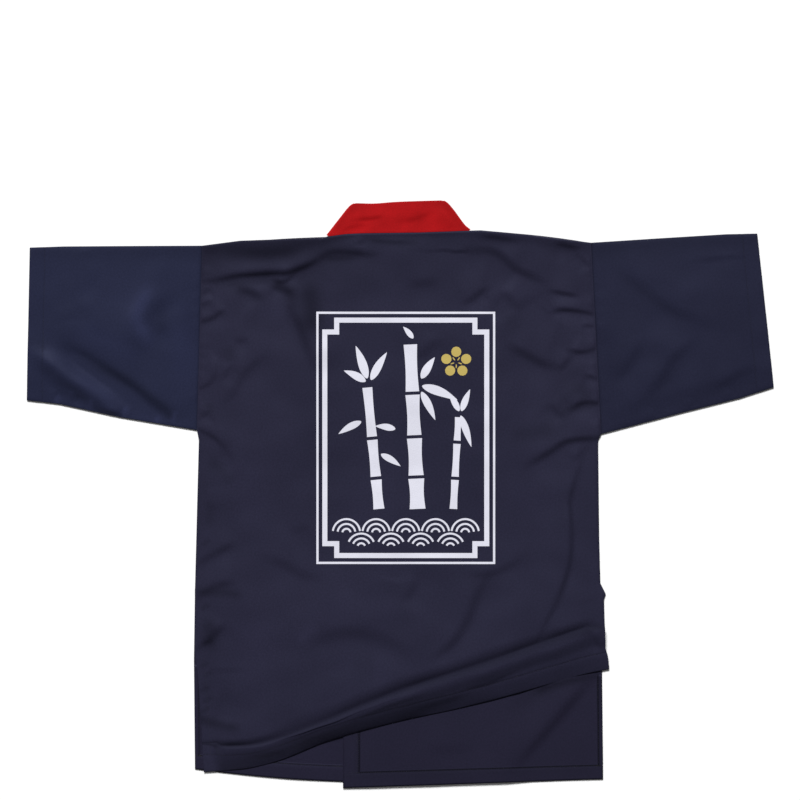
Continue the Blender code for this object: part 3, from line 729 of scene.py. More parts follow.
RIGHT_SLEEVE_CREASES = (
    Crease(((276, 315), (283.7, 308.9), (318.3, 284.7), (363.3, 250.1), (404.9, 232.9), (436, 221)), 15, 1,
            1.1),
    Crease(((310, 106), (352.9, 156), (370.2, 184), (411.8, 213.6)), 13.5, 1.6, 1.4),
    Crease(((283, 146), (311.4, 179), (333, 218)), 12, 1.2, 1),
    Crease(((387.6, 313.9), (436, 319), (484.5, 322)), 3, 0.4, 0.4),
    Crease(((415.1, 134.3), (456.7, 161.7), (491.4, 173.5)), 13, 1.2, 1),
    Crease(((340, 100), (345, 113)), 4, 0.8, 0.5, start=1),
    Crease(((392, 115), (396, 128)), 4, 0.9, 0.6, start=1),
    Crease(((446, 129), (448, 141)), 4, 0.7, 0.5, start=1),
)


@dataclass(frozen=True)
class Grain:
    """Unevenness on the flat cloth: patches to the metre, finer detail, lowest and highest value."""

    scale: float
    detail: float
    low: float
    high: float


class Layout:
    """Short way to lay out the nodes of one material."""

    def __init__(self, name: str) -> None:
        """Start a material with only its shader."""
        self.material = bpy.data.materials.new(name)
        self.material.use_nodes = True
        self.tree = self.material.node_tree
        self.shader = self.tree.nodes["Principled BSDF"]

    def feed(self, socket: Socket, value: Feed) -> None:
        """Link a socket to a value's socket, or set it to a plain value."""
        if isinstance(value, Socket):
            self.tree.links.new(value, socket)
        else:
            socket.default_value = value

    def node(self, kind: str, inputs: dict[str | int, Feed] | None = None,
             **settings: str) -> bpy.types.Node:
        """Add a node.

        Args:
            kind: The node's type.
            inputs: Values or sockets for its inputs, by name or number.
            **settings: Its other settings.

        Returns:
            The node.
        """
        node = self.tree.nodes.new(kind)
        for name, value in settings.items():
            setattr(node, name, value)
        for key, value in (inputs or {}).items():
            self.feed(node.inputs[key], value)
        return node

    def maths(self, operation: str, first: Feed, second: Feed = 0.0, third: Feed = 0.0) -> Socket:
        """Result of a Math node."""
        inputs = {0: first, 1: second, 2: third}
        return self.node("ShaderNodeMath", inputs, operation=operation).outputs[0]

    def cut(self) -> Socket:
        """Place on the flat cloth, in metres."""
        return self.node("ShaderNodeUVMap", uv_map="cut").outputs["UV"]

    def spread(self, value: Socket, low: float, high: float, least: float = 0.0,
               most: float = 1.0) -> Socket:
        """A value between least and most, brought to the range from low to high."""
        inputs = {"Value": value, "From Min": least, "From Max": most, "To Min": low, "To Max": high}
        return self.node("ShaderNodeMapRange", inputs).outputs["Result"]

    def grain(self, grain: Grain) -> Socket:
        """Uneven value on the flat cloth."""
        inputs = {"Vector": self.cut(), "Scale": grain.scale, "Detail": grain.detail}
        uneven = self.node("ShaderNodeTexNoise", inputs, noise_dimensions="2D").outputs["Fac"]
        return self.spread(uneven, grain.low, grain.high, *MIDDLE_NOISE)

    def dye(self, wide: Grain, fine: Grain) -> Socket:
        """Uneven strength of a dye or an ink around 1, in wide patches and in fine ones."""
        return self.maths("MULTIPLY", self.grain(wide), self.grain(fine))

    def mottle(self, scale: float) -> Socket:
        """Uneven value from 0 to 1 in the piece's own space."""
        place = self.node("ShaderNodeTexCoord").outputs["Object"]
        return self.node("ShaderNodeTexNoise", {"Vector": place, "Scale": scale}).outputs["Fac"]

    def shift(self, colour: Colour, value: Socket) -> Socket:
        """A colour made lighter and darker by a value around 1."""
        inputs = {"Color": (*colour, 1.0), "Value": value}
        return self.node("ShaderNodeHueSaturation", inputs).outputs["Color"]

    def raise_by(self, height: Socket, distance: float) -> None:
        """Bump the surface by a height from 0 to 1, which stands for a distance."""
        bump = self.node("ShaderNodeBump", {"Height": height, "Distance": distance})
        self.feed(self.shader.inputs["Normal"], bump.outputs["Normal"])

    def finish(self, inputs: dict[str, Feed]) -> bpy.types.Material:
        """Set the shader's inputs by their names, and give the material back."""
        for name, value in inputs.items():
            self.feed(self.shader.inputs[name], value)
        return self.material


@dataclass(frozen=True)
class Twill:
    """Dyed twill: fine slanting ribs, a soft sheen, a slightly uneven dye and the painted shade and light
    that its mesh carries.
    """

    name: str
    colour: Colour
    rib: float = 0.001
    float_length: float = 0.0026
    depth: float = 0.00005
    roughness: float = 0.48
    gloss: float = 0.08
    gloss_tint: Colour = (0.6, 0.66, 1.0)
    sheen: float = 0.02
    sheen_roughness: float = 0.45
    sheen_tint: Colour = (0.55, 0.6, 0.8)
    # Heights of the ribs and of the floats across them, and what brings their sum above 0
    rib_share: float = 0.5
    float_share: float = 0.12
    weave_middle: float = 0.38
    lint: Grain = Grain(900.0, 2.0, 0.0, 0.35)
    wide_dye: Grain = Grain(7.0, 3.0, 0.94, 1.06)
    fine_dye: Grain = Grain(420.0, 2.0, 0.9, 1.1)

    def material(self) -> bpy.types.Material:
        """Make the material.

        Returns:
            The finished cloth.
        """
        plan = Layout(self.name)
        parts = plan.node("ShaderNodeSeparateXYZ", {0: plan.cut()})
        slant = plan.maths("ADD", parts.outputs[0], parts.outputs[1])
        cross = plan.maths("SUBTRACT", parts.outputs[0], parts.outputs[1])
        ribs = plan.maths("SINE", plan.maths("MULTIPLY", slant, 2.0 * math.pi / self.rib))
        floats = plan.maths("SINE", plan.maths("MULTIPLY", cross, 2.0 * math.pi / self.float_length))
        floats = plan.maths("MULTIPLY_ADD", floats, self.float_share, self.weave_middle)
        weave = plan.maths("MULTIPLY_ADD", ribs, floats, self.rib_share)
        plan.raise_by(plan.maths("ADD", weave, plan.grain(self.lint)), self.depth)
        # Painted shade and light: the mesh's shade attribute darkens the colour, or lightens it where
        # negative, and makes the cloth rougher there, which dims its gloss
        shade = plan.node("ShaderNodeAttribute", attribute_name="shade").outputs["Fac"]
        light = plan.maths("SUBTRACT", 1.0, shade)
        dye = plan.maths("MULTIPLY", plan.dye(self.wide_dye, self.fine_dye), light)
        return plan.finish({
            "Base Color": plan.shift(self.colour, dye),
            "Roughness": plan.maths("MULTIPLY_ADD", shade, 1.0 - self.roughness, self.roughness),
            "Specular IOR Level": self.gloss,
            "Specular Tint": (*self.gloss_tint, 1.0),
            "Sheen Weight": self.sheen,
            "Sheen Roughness": self.sheen_roughness,
            "Sheen Tint": (*self.sheen_tint, 1.0),
        })


@dataclass(frozen=True)
class Cotton:
    """Plain-woven dyed cotton, matt, with the threads of its weave just showing."""

    name: str
    colour: Colour
    thread: float = 0.0008
    depth: float = 0.00006
    roughness: float = 0.72
    gloss: float = 0.1
    sheen: float = 0.06
    sheen_roughness: float = 0.5
    tint: Colour = (1.0, 0.45, 0.4)
    weave_share: float = 0.35
    lint: Grain = Grain(700.0, 2.0, 0.3, 0.8)
    wide_dye: Grain = Grain(26.0, 3.0, 0.88, 1.1)
    fine_dye: Grain = Grain(500.0, 2.0, 0.93, 1.07)

    def material(self) -> bpy.types.Material:
        """Make the material.

        Returns:
            The finished cloth.
        """
        plan = Layout(self.name)
        parts = plan.node("ShaderNodeSeparateXYZ", {0: plan.cut()})
        turns = [plan.maths("MULTIPLY", parts.outputs[axis], 2.0 * math.pi / self.thread) for axis in (0, 1)]
        weave = plan.maths("MULTIPLY", plan.maths("SINE", turns[0]), plan.maths("SINE", turns[1]))
        height = plan.maths("MULTIPLY_ADD", weave, self.weave_share, plan.grain(self.lint))
        plan.raise_by(height, self.depth)
        return plan.finish({
            "Base Color": plan.shift(self.colour, plan.dye(self.wide_dye, self.fine_dye)),
            "Roughness": self.roughness,
            "Specular IOR Level": self.gloss,
            "Specular Tint": (*self.tint, 1.0),
            "Sheen Weight": self.sheen,
            "Sheen Roughness": self.sheen_roughness,
            "Sheen Tint": (*self.tint, 1.0),
        })


@dataclass(frozen=True)
class PrintInk:
    """Screen-printed ink, a little uneven, with the cloth's ribs showing through it."""

    name: str
    colour: Colour
    depth: float = 0.00005
    roughness: float = 0.5
    gloss: float = 0.3
    skin: Grain = Grain(1100.0, 3.0, 0.0, 1.0)
    wide_cover: Grain = Grain(30.0, 3.0, 0.96, 1.02)
    fine_cover: Grain = Grain(600.0, 2.0, 0.95, 1.03)

    def material(self) -> bpy.types.Material:
        """Make the material.

        Returns:
            The finished thread.
        """
        plan = Layout(self.name)
        plan.raise_by(plan.grain(self.skin), self.depth)
        return plan.finish({
            "Base Color": plan.shift(self.colour, plan.dye(self.wide_cover, self.fine_cover)),
            "Roughness": self.roughness,
            "Specular IOR Level": self.gloss,
        })


@dataclass(frozen=True)
class Thread:
    """Sewing thread with a slight gloss, twisted, with painted shade in its hollows."""

    name: str
    colour: Colour
    twist_scale: float = 1500.0
    contrast: tuple[float, float] = (0.75, 1.25)
    depth: float = 0.0001
    roughness: float = 0.45
    gloss: float = 0.35

    def material(self) -> bpy.types.Material:
        """Make the material.

        Returns:
            The finished ink.
        """
        plan = Layout(self.name)
        # The twist bumps the thread and also paints its hollows darker, as painted shade
        twist = plan.mottle(self.twist_scale)
        plan.raise_by(twist, self.depth)
        return plan.finish({
            "Base Color": plan.shift(self.colour, plan.spread(twist, *self.contrast)),
            "Roughness": self.roughness,
            "Specular IOR Level": self.gloss,
        })


@dataclass(frozen=True)
class FloorPaint:
    """Pale matt surface that the coat lies on."""

    name: str
    colour: Colour
    patch_scale: float = 3.0
    contrast: tuple[float, float] = (0.995, 1.005)
    roughness: float = 0.95
    gloss: float = 0.1

    def material(self) -> bpy.types.Material:
        """Make the material.

        Returns:
            The finished paint.
        """
        plan = Layout(self.name)
        patches = plan.spread(plan.mottle(self.patch_scale), *self.contrast)
        return plan.finish({
            "Base Color": plan.shift(self.colour, patches),
            "Roughness": self.roughness,
            "Specular IOR Level": self.gloss,
        })


def add_object(name: str, data: bpy.types.ID) -> bpy.types.Object:
    """Put a mesh, a light or a camera into the scene."""
    made = bpy.data.objects.new(name, data)
    bpy.context.scene.collection.objects.link(made)
    return made


def add_mesh(name: str, shape: bmesh.types.BMesh) -> bpy.types.Object:
    """Put a finished shape into the scene."""
    mesh = bpy.data.meshes.new(name)
    shape.to_mesh(mesh)
    shape.free()
    return add_object(name, mesh)


@dataclass
class ClothGrid:
    """Rows of points on one piece of cloth, with their places on the flat cloth."""

    points: np.ndarray
    flat: np.ndarray
    doubled: np.ndarray
    shade: np.ndarray

    @classmethod
    def from_points(cls, points: np.ndarray, doubled: Values = 0.0, shade: Values = 0.0) -> "ClothGrid":
        """Measure the flat cloth from the points themselves.

        Args:
            points: Rows of points.
            doubled: Share of the turned wall's thickness at the points.
            shade: Painted shade at the points, as a share of how much darker the cloth is painted; negative
                values paint light.

        Returns:
            The grid.
        """
        across = np.linalg.norm(np.diff(points, axis=1), axis=2)
        down = np.linalg.norm(np.diff(points, axis=0), axis=2)
        flat = np.zeros(points.shape[:2] + (2,))
        flat[:, 1:, 0] = np.cumsum(across, axis=1)
        flat[:, :, 0] -= flat[:, -1:, 0] / 2.0
        flat[1:, :, 1] = np.cumsum(down, axis=0)
        whole = points.shape[:2]
        return cls(points, flat, np.broadcast_to(doubled, whole), np.broadcast_to(shade, whole))

    def normals(self) -> np.ndarray:
        """Directions straight up out of the cloth at every point.

        Returns:
            Directions of length 1, in the order of the points.
        """
        across = np.gradient(self.points, axis=1)
        down = np.gradient(self.points, axis=0)
        found = np.cross(down, across)
        found /= np.linalg.norm(found, axis=2, keepdims=True) + 1e-12
        return found

    def mesh_object(self, name: str, wall: float, turned: float = 0.0,
                    tube: bool = False) -> bpy.types.Object:
        """Make the cloth: a grid moved onto the points and given its wall.

        Args:
            name: Name of the object.
            wall: Thickness of the cloth.
            turned: Thickness where the cloth is turned over and doubled.
            tube: Whether the first and last columns are joined.

        Returns:
            The object, at the origin.
        """
        rows, columns = self.points.shape[:2]
        shape = bmesh.new()
        bmesh.ops.create_grid(shape, x_segments=columns - 1, y_segments=rows - 1, size=1.0)
        shape.verts.ensure_lookup_table()
        shape.verts.index_update()
        cut = shape.loops.layers.uv.new("cut")
        weight = shape.verts.layers.deform.verify()
        # The painted shade goes into the attribute shade, which the cloth's material reads
        darker = shape.verts.layers.float.new("shade")
        flat = self.flat.reshape(-1, 2)
        places = self.points.reshape(-1, 3)
        shares, shades = self.doubled.ravel(), self.shade.ravel()
        for vertex, place, share, shade in zip(shape.verts, places, shares, shades):
            vertex.co = place
            vertex[weight][0] = share
            vertex[darker] = shade
        for face in shape.faces:
            for loop in face.loops:
                loop[cut].uv = flat[loop.vert.index]
        if tube:
            bmesh.ops.remove_doubles(shape, verts=shape.verts, dist=JOIN_WITHIN)
        top = max(shape.faces, key=lambda face: face.calc_center_median().z)
        top.normal_update()
        if top.normal.z < 0.0:
            bmesh.ops.reverse_faces(shape, faces=shape.faces)
        piece = add_mesh(name, shape)
        piece.data.shade_smooth()
        piece.vertex_groups.new(name="doubled")
        wall_maker = piece.modifiers.new("wall", "SOLIDIFY")
        wall_maker.offset = 0.0
        wall_maker.thickness = max(wall, turned)
        wall_maker.vertex_group = "doubled"
        wall_maker.thickness_vertex_group = wall / max(wall, turned)
        return piece


class Lay(Enum):
    """How a piece of cloth is held."""

    LAID = "laid"
    FOLDED = "folded"


@dataclass(frozen=True)
class Sheet:
    """What a piece of cloth was cut to, and how it lies."""

    flat: tuple[float, float]
    area: float
    lay: Lay
    rests_on: tuple[str, ...]


def dress(piece: bpy.types.Object, material: bpy.types.Material) -> None:
    """Give a piece its finish, and let it ride on the coat."""
    piece.data.materials.append(material)
    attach(piece, BODY)


def declare(node: str) -> None:
    """Hide the imported node that a cloth piece stands in for."""
    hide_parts(node)


@dataclass
class Stitching:
    """Rows of machine stitches on one piece of cloth, made as one joined mesh."""

    name: str
    pitch: float = 0.0032
    length: float = 0.0026
    thickness: float = 0.00055
    sink: float = 0.00016
    first_share: float = 0.7

    def __post_init__(self) -> None:
        """Start with no stitches."""
        self.shape = bmesh.new()

    def run(self, line: np.ndarray, up: np.ndarray, half_wall: float) -> None:
        """Sew along a line on the cloth.

        Args:
            line: Places along the line, on the middle of the cloth.
            up: Directions out of the cloth there.
            half_wall: How far the cloth's surface lies above its middle.
        """
        walked = walked_lengths(line)
        count = int((walked[-1] - self.pitch) / self.pitch)
        size = Matrix.Diagonal((self.length / 2.0, self.thickness / 2.0, self.thickness / 2.0, 1.0))
        for index in range(count):
            place = (index + self.first_share) * self.pitch
            centre = Vector(on_way(walked, line, place))
            ahead = Vector(on_way(walked, line, place + self.pitch / 2.0))
            out = Vector(on_way(walked, up, place)).normalized()
            along = (ahead - centre).normalized()
            side = out.cross(along).normalized()
            turn = Matrix((along, side, along.cross(side))).transposed().to_4x4()
            move = Matrix.Translation(centre + out * (half_wall - self.sink))
            bmesh.ops.create_icosphere(self.shape, subdivisions=1, radius=1.0, matrix=move @ turn @ size)

    def build(self, material: bpy.types.Material, slot: str) -> bpy.types.Object:
        """Finish the mesh and dress it."""
        piece = add_mesh(self.name, self.shape)
        piece.data.shade_smooth()
        dress(piece, material)
        return piece


def lift(x: Values) -> Values:
    """Share of the full lift that the layers below give the back panel at x."""
    left = ease((x - LIFT_LEFT + LIFT_RUN) / LIFT_RUN)
    right = ease((LIFT_RIGHT + LIFT_RUN - x) / LIFT_RUN)
    return np.minimum(left, right)


def back_base(x: Values) -> Values:
    """Middle height of the back panel where it rests on the layers below."""
    return BACK_LOW + BACK_RISE * lift(x)


def top_y(x: Values) -> Values:
    """Top edge of the back at x."""
    return read(BACK_TOP, "x", "y", x)


@dataclass
class BackPanel:
    """The back, from its neck edge down over the slanting roll to its turned hem."""

    cloth: bpy.types.Material
    thread: bpy.types.Material
    # How the panel is divided: stretches between its pressed edges as end and distance of the lines,
    # numbers of steps in the fold, and lines in the hem as shares of its depth
    width: float = 0.545
    columns: tuple[tuple[float, float], ...] = ((0.16, 0.0031), (0.385, 0.005))
    last_column_cell: float = 0.0031
    lines: tuple[tuple[float, float], ...] = ((0.3, 0.0024), (0.55, 0.0034), (0.6, 0.0019))
    turn_steps: int = 8
    overlap_steps: int = 4
    crest_steps: int = 22
    fall_steps: int = 24
    fall_samples: int = 240
    hem_lines: tuple[float, ...] = (0.78, 0.62, 0.46, 0.3, 0.16, 0.07, 0.0)
    # The flat part: how it lofts, and how its edges are held down
    loft: float = 0.0024
    loft_run: float = 0.04
    firmness: float = 0.7
    softness: float = 0.0007
    edge_run: float = 0.004
    edge_hold: float = 0.12
    top_run: float = 0.001
    top_hold: float = 0.15
    top_dip: float = 0.0008
    neck_rise: float = 0.0009
    neck_corner: float = 0.006
    neck: Ramp = Ramp(0.28, 0.05)
    side_rise: float = 0.001
    raised_side: Ramp = Ramp(0.03, 0.06)
    shoulder_slope: float = 0.22
    shoulder_inset: float = 0.012
    table_reach: float = 0.015
    brow_length: float = 3.2
    ripples: tuple[Ripple, ...] = (Ripple(0.9, 85, 1.7), Ripple(0.5, 34, 8.2))
    armhole_pucker: Pucker = Pucker(0.4, 11, 13, 3.1)
    armhole: Ramp = Ramp(0.05, 0.03)
    side_pucker: Pucker = Pucker(0.28, 24, 10, 5.6)
    top_pucker: Pucker = Pucker(0.3, 16, 8, 9.4)
    # The fold: how its crest sways along it, as share, turns to the metre and start, and its bends
    sway: tuple[tuple[float, float, float], ...] = ((0.06, 61.0, 0.8), (0.04, 128.0, 0.0))
    fold_reach: float = 0.006
    crest_reach: float = 0.012
    drop_share: float = 0.4
    roll_ripple: Ripple = Ripple(0.4, 50, 4.4)
    roll_stretch: float = 2.2
    calm_height: float = 0.002
    calm_share: float = 0.35
    fold_clearance: float = 0.0001
    landing: float = 0.045
    hem_step: Ramp = Ramp(RIGHT_FRONT_EDGE - 0.028, 0.065)
    # The turned hem and the vents
    hem_depth: float = 0.0235
    vent_depth: float = 0.012
    vent_top: float = -0.217
    groove: float = 0.00018
    groove_width: float = 0.0009
    seam_shown: Ramp = Ramp(-0.02, 0.06)
    least_groove: float = 0.3
    hem_edge: float = 0.005
    thin_share: float = 0.1
    thin_run: float = 0.0028
    # Painted shade: in the crevice above the roll, below the top edge (less of it towards the right), on the
    # roll's face and below it, and along the hem
    crevice: float = 0.0045
    crevice_shade: float = 0.14
    deep_shade: float = 0.46
    deep_x: float = -0.224
    deep_length: float = 0.026
    top_shade: float = 0.32
    top_shade_run: float = 0.04
    bright_top: float = 0.3
    bright_from: Ramp = Ramp(-0.105, 0.045)
    face_shade: float = 0.48
    face_run: float = 1.4
    low_shade: float = 0.22
    low_from: Ramp = Ramp(-0.08, 0.06)
    low_until: Ramp = Ramp(0.02, 0.1)
    low_drop: float = 0.7
    below_face: Ramp = Ramp(0.014, 0.012)
    seam_shade: float = 0.25
    sheet: Sheet = Sheet((0.56, 0.8), 0.395, Lay.FOLDED, ("front_left", "front_right"))

    def ends(self, y_left: Values, y_right: Values) -> tuple[Values, Values]:
        """Both side edges at the given heights on the coat."""
        return read(BACK_LEFT, "y", "x", y_left), read(BACK_RIGHT, "y", "x", y_right)

    def across(self, y: np.ndarray, shares: np.ndarray) -> np.ndarray:
        """Places across the coat of whole rows, from their own heights at both side edges."""
        return mix(*self.ends(y[:, :1], y[:, -1:]), shares)

    def hem_level(self, x: np.ndarray) -> np.ndarray:
        """Middle height of the hem where it rests on the fronts."""
        on_right = RAISED_FRONT + WALL / 2.0 + TURNED_WALL / 2.0 + SEAM
        return np.minimum(mix(BACK_LOW, on_right, self.hem_step.at(x)), back_base(x))

    def crest_y(self, x: Values) -> Values:
        """Crest of the roll at x."""
        return soft_read(CREST, "x", "y", x, self.crest_reach)

    def turned_part(self, x: np.ndarray) -> tuple[np.ndarray, np.ndarray]:
        """Side view of the fold down to the end of its crest.

        Args:
            x: Place of each column across the coat.

        Returns:
            Places along the coat and heights above the resting level, a row for each step.
        """
        row = {name: soft_read(FOLD, "x", name, x, self.fold_reach) for name in FoldRow._fields[1:]}
        full = row["turn"] * math.pi
        sway = 1.0 + sum(share * np.sin(x * turns + start) for share, turns, start in self.sway)
        turning = (np.arange(self.turn_steps)[:, None] + 0.5) / self.turn_steps
        level = np.ones((self.overlap_steps, 1))
        falling = 1.0 - (np.arange(self.crest_steps)[:, None] + 0.5) / self.crest_steps
        angles = full * np.vstack([turning, level, falling])
        under = row["under_radius"] * full / self.turn_steps * np.ones_like(turning)
        overlap = row["overlap"] / self.overlap_steps * level
        crest = sway * full / self.crest_steps * np.ones_like(falling)
        inward = np.vstack([under, overlap, row["crest_radius"] * crest])
        upward = np.vstack([under, overlap, row["crest_rise"] * crest])
        zeros = np.zeros((1, len(x)))
        y = np.vstack([zeros, -np.cumsum(np.cos(angles) * inward, axis=0)])
        z = np.vstack([zeros, np.cumsum(np.sin(angles) * upward, axis=0)])
        top = self.turn_steps + self.overlap_steps + self.crest_steps // 2
        return y + self.crest_y(x) - y[top], z

    def fall_part(self, x: np.ndarray, start_y: np.ndarray, top_z: np.ndarray) -> tuple[np.ndarray, ...]:
        """Side view of the cloth from the end of the crest down to the hem.

        Args:
            x: Place of each column across the coat.
            start_y: Where the crest ends.
            top_z: How high it ends.

        Returns:
            Places along the coat, heights above the resting level and distances from the hem.
        """
        shoulder = soft_read(FOLD, "x", "shoulder", x, self.fold_reach)
        fall = soft_read(FOLD, "x", "fall", x, self.fold_reach)
        share = np.sin(np.linspace(0.0, 0.5 * math.pi, self.fall_samples))[:, None]
        y = mix(start_y, soft_read(HEM, "x", "y", x, self.crest_reach), share)
        z = top_z * mix(1.0 - share ** fall, 1.0 - ease(share / self.drop_share), shoulder)
        depth = self.hem_depth
        near_hem = np.concatenate([depth - np.array(SEWN_LINES), depth * np.array(self.hem_lines)])
        found = []
        for column in range(len(x)):
            side_view = np.stack([y[:, column], z[:, column]], 1)
            walked = walked_lengths(side_view)
            upper = np.linspace(walked[-1], near_hem[0], self.fall_steps + 1)[1:-1]
            left = np.concatenate([upper, near_hem])
            found.append([*on_way(walked, side_view, walked[-1] - left), left])
        return tuple(np.array(found).transpose(1, 2, 0))

    def gathers(self, x: np.ndarray, y: np.ndarray, from_side: np.ndarray,
                from_top: np.ndarray) -> np.ndarray:
        """Height of the puckers along the side edges and the top edge, in metres."""
        at_sides = self.armhole_pucker.height(y, from_side) * self.armhole.at(y)
        at_sides += self.side_pucker.height(y, from_side)
        return MM * (at_sides + self.top_pucker.height(x, from_top))

    def body_height(self, x: np.ndarray, y: np.ndarray) -> np.ndarray:
        """Middle height of the flat part of the back.

        Args:
            x: Places of the points across the coat.
            y: Places of the points along the coat.

        Returns:
            The heights.
        """
        from_side = np.minimum(x - x[:, :1], x[:, -1:] - x)
        from_top = np.maximum(top_y(x) - y, 0.0)
        inner = ease(from_side / self.loft_run)
        dip = (y - self.crest_y(x)) / soft_read(BROW, "x", "run", x, self.table_reach)
        clear = 1.0 - np.square(1.0 - np.clip(dip, 0.0, 1.0))
        past_dip = np.maximum(dip - 1.0, 0.0)
        brow = soft_read(BROW, "x", "rise", x, self.table_reach) * bell(past_dip, self.brow_length)

        rise = self.loft * inner + relief(BACK_CREASES + self.ripples, x, y) * mix(self.firmness, 1.0, inner)
        rise += self.gathers(x, y, from_side, from_top)
        run = soft_read(SHOULDER, "x", "run", x, self.table_reach)
        rise += self.shoulder_slope * run * bell(from_top, run) * ease(from_side / self.shoulder_inset)
        rise += self.side_rise * self.raised_side.at(y) * ease(from_side / self.edge_run)
        soft = settle((rise + brow * inner) * clear, self.softness)

        base = back_base(x)
        z = base + soft + self.neck_rise * self.neck.at(y) * lift(x)
        side_z = mix(base, read(BACK_SIDE_LEVEL, "y", "z", y), clear)
        z = mix(side_z, z, ease(self.edge_hold + from_side / self.edge_run))
        beyond_neck = np.maximum(NECK_LEFT[0] - x, x - NECK_RIGHT[0])
        top_z = base + mix(-self.top_dip, self.neck_rise, ease(1.0 - beyond_neck / self.neck_corner))
        return mix(top_z, z, ease(self.top_hold + from_top / self.top_run))

    def fold_height(self, x: np.ndarray, y: np.ndarray, rise: np.ndarray, hem_gap: np.ndarray) -> np.ndarray:
        """Middle height of the fold.

        Args:
            x: Places of the points across the coat.
            y: Places of the points along the coat.
            rise: Heights above the resting level in the plain side view.
            hem_gap: Distances from the hem.

        Returns:
            The heights, with the roll's creases and the groove along its hem.
        """
        rows = np.arange(len(y))[:, None]
        on_roll = ease((rows - self.turn_steps - self.overlap_steps) / self.crest_steps)
        bend = relief(ROLL_CREASES, x, y) + MM * self.roll_ripple.height(x, y * self.roll_stretch)
        seam_shown = mix(self.least_groove, 1.0, self.seam_shown.at(x))
        groove = self.groove * bell(hem_gap - self.hem_depth, self.groove_width) * seam_shown
        calm = np.minimum(1.0, rise / self.calm_height + self.calm_share)
        level = mix(back_base(x), self.hem_level(x), ease(1.0 - hem_gap / self.landing))
        return level + self.fold_clearance + rise + (bend * on_roll - groove) * calm

    def body_shade(self, x: np.ndarray, y: np.ndarray) -> np.ndarray:
        """Painted shade of the flat part: in the crevice above the roll, below the top edge and in its
        hollows, with painted light where the table gives it.

        Args:
            x: Places of the points across the coat.
            y: Places of the points along the coat.

        Returns:
            The shades, more than 0 where the cloth is darker.
        """
        depth = self.crevice_shade + self.deep_shade * bell(x - self.deep_x, self.deep_length)
        in_crevice = depth * bell(y - self.crest_y(x), self.crevice)
        near_top = self.top_shade * bell(top_y(x) - y, self.top_shade_run)
        near_top *= mix(1.0, self.bright_top, self.bright_from.at(x))
        return in_crevice + near_top + tone(BACK_PAINTED_SHADING, x, y)

    def roll_shade(self, x: np.ndarray, y: np.ndarray) -> np.ndarray:
        """Painted shade on the fold: on the roll's face, and a little below it on the right.

        Args:
            x: Places of the points across the coat.
            y: Places of the points along the coat.

        Returns:
            The shades, more than 0 where the cloth is darker.
        """
        past_crest = self.crest_y(x) - y
        radius = soft_read(FOLD, "x", "crest_radius", x, self.fold_reach)
        on_face = self.face_shade * (1.0 - ease(past_crest / radius / self.face_run))
        below = self.low_shade * self.low_from.at(x) * (1.0 - self.low_drop * self.low_until.at(x))
        return on_face + below * self.below_face.at(past_crest)

    def grid(self) -> ClothGrid:
        """Points of the whole panel, a row for each line across it, from the top edge to the hem.

        Returns:
            The grid, with its wall and its shade.
        """
        pressed = [(line, PRESSED_CELL) for line in PRESSED_LINES[1:]]
        last = [(self.width - PRESSED_LINES[-1], self.last_column_cell)]
        last += [(self.width - line, PRESSED_CELL) for line in PRESSED_LINES[-2::-1]]
        shares = stretches(*pressed, *self.columns, *last)
        down = stretches(*pressed, *self.lines)[:-1, None]
        x_top = mix(*self.ends(BACK_LEFT[0].y, BACK_RIGHT[0].y), shares)
        x_low = mix(*self.ends(self.crest_y(BACK_LEFT[-1].x), self.crest_y(BACK_RIGHT[-1].x)), shares)
        turned_y, turned_z = self.turned_part(x_low)
        fall_y, fall_z, from_hem = self.fall_part(x_low, turned_y[-1], turned_z[-1])
        y = mix(top_y(x_top), turned_y[0], down)
        x = self.across(y, shares)
        fold_y = np.vstack([turned_y, fall_y])
        fold_x = self.across(fold_y, shares)
        hem_gap = np.vstack([np.full(turned_y.shape, FAR), from_hem])
        fold_z = self.fold_height(fold_x, fold_y, np.vstack([turned_z, fall_z]), hem_gap)
        body = np.dstack([x, y, self.body_height(x, y)])
        points = np.vstack([body, np.dstack([fold_x, fold_y, fold_z])])

        gap = np.vstack([np.full(x.shape, FAR), hem_gap])
        doubled = 1.0 - ease((gap - self.hem_depth + self.hem_edge) / self.hem_edge)
        doubled *= mix(self.thin_share, 1.0, ease(gap / self.thin_run))
        # Painted shade on the flat part and the fold, and a line of it along the hem's sewn line
        shade = np.vstack([self.body_shade(x, y), self.roll_shade(fold_x, fold_y)])
        shade += self.seam_shade * bell(gap - self.hem_depth, self.groove_width)
        self.hem_row = int(np.argmin(np.abs(gap[:, 0] - self.hem_depth)))
        self.vent_column = int(np.argmin(np.abs(shares * self.width - self.vent_depth)))
        return ClothGrid.from_points(points, doubled, shade)

    def build(self) -> bpy.types.Object:
        """Make the panel with its stitching.

        Returns:
            The panel.
        """
        grid = self.grid()
        self.piece = grid.mesh_object("back_cloth", WALL, TURNED_WALL)
        dress(self.piece, self.cloth)
        up = grid.normals()
        sewing = Stitching("back_stitches")
        sewing.run(grid.points[self.hem_row, 2:-2], up[self.hem_row, 2:-2], WALL / 2.0)
        for column in (self.vent_column, -1 - self.vent_column):
            rows = grid.points[:, column, 1] < self.vent_top
            sewing.run(grid.points[rows, column], up[rows, column], WALL / 2.0)
        self.extras = [sewing.build(self.thread, NAVY_SLOT)]
        return self.piece


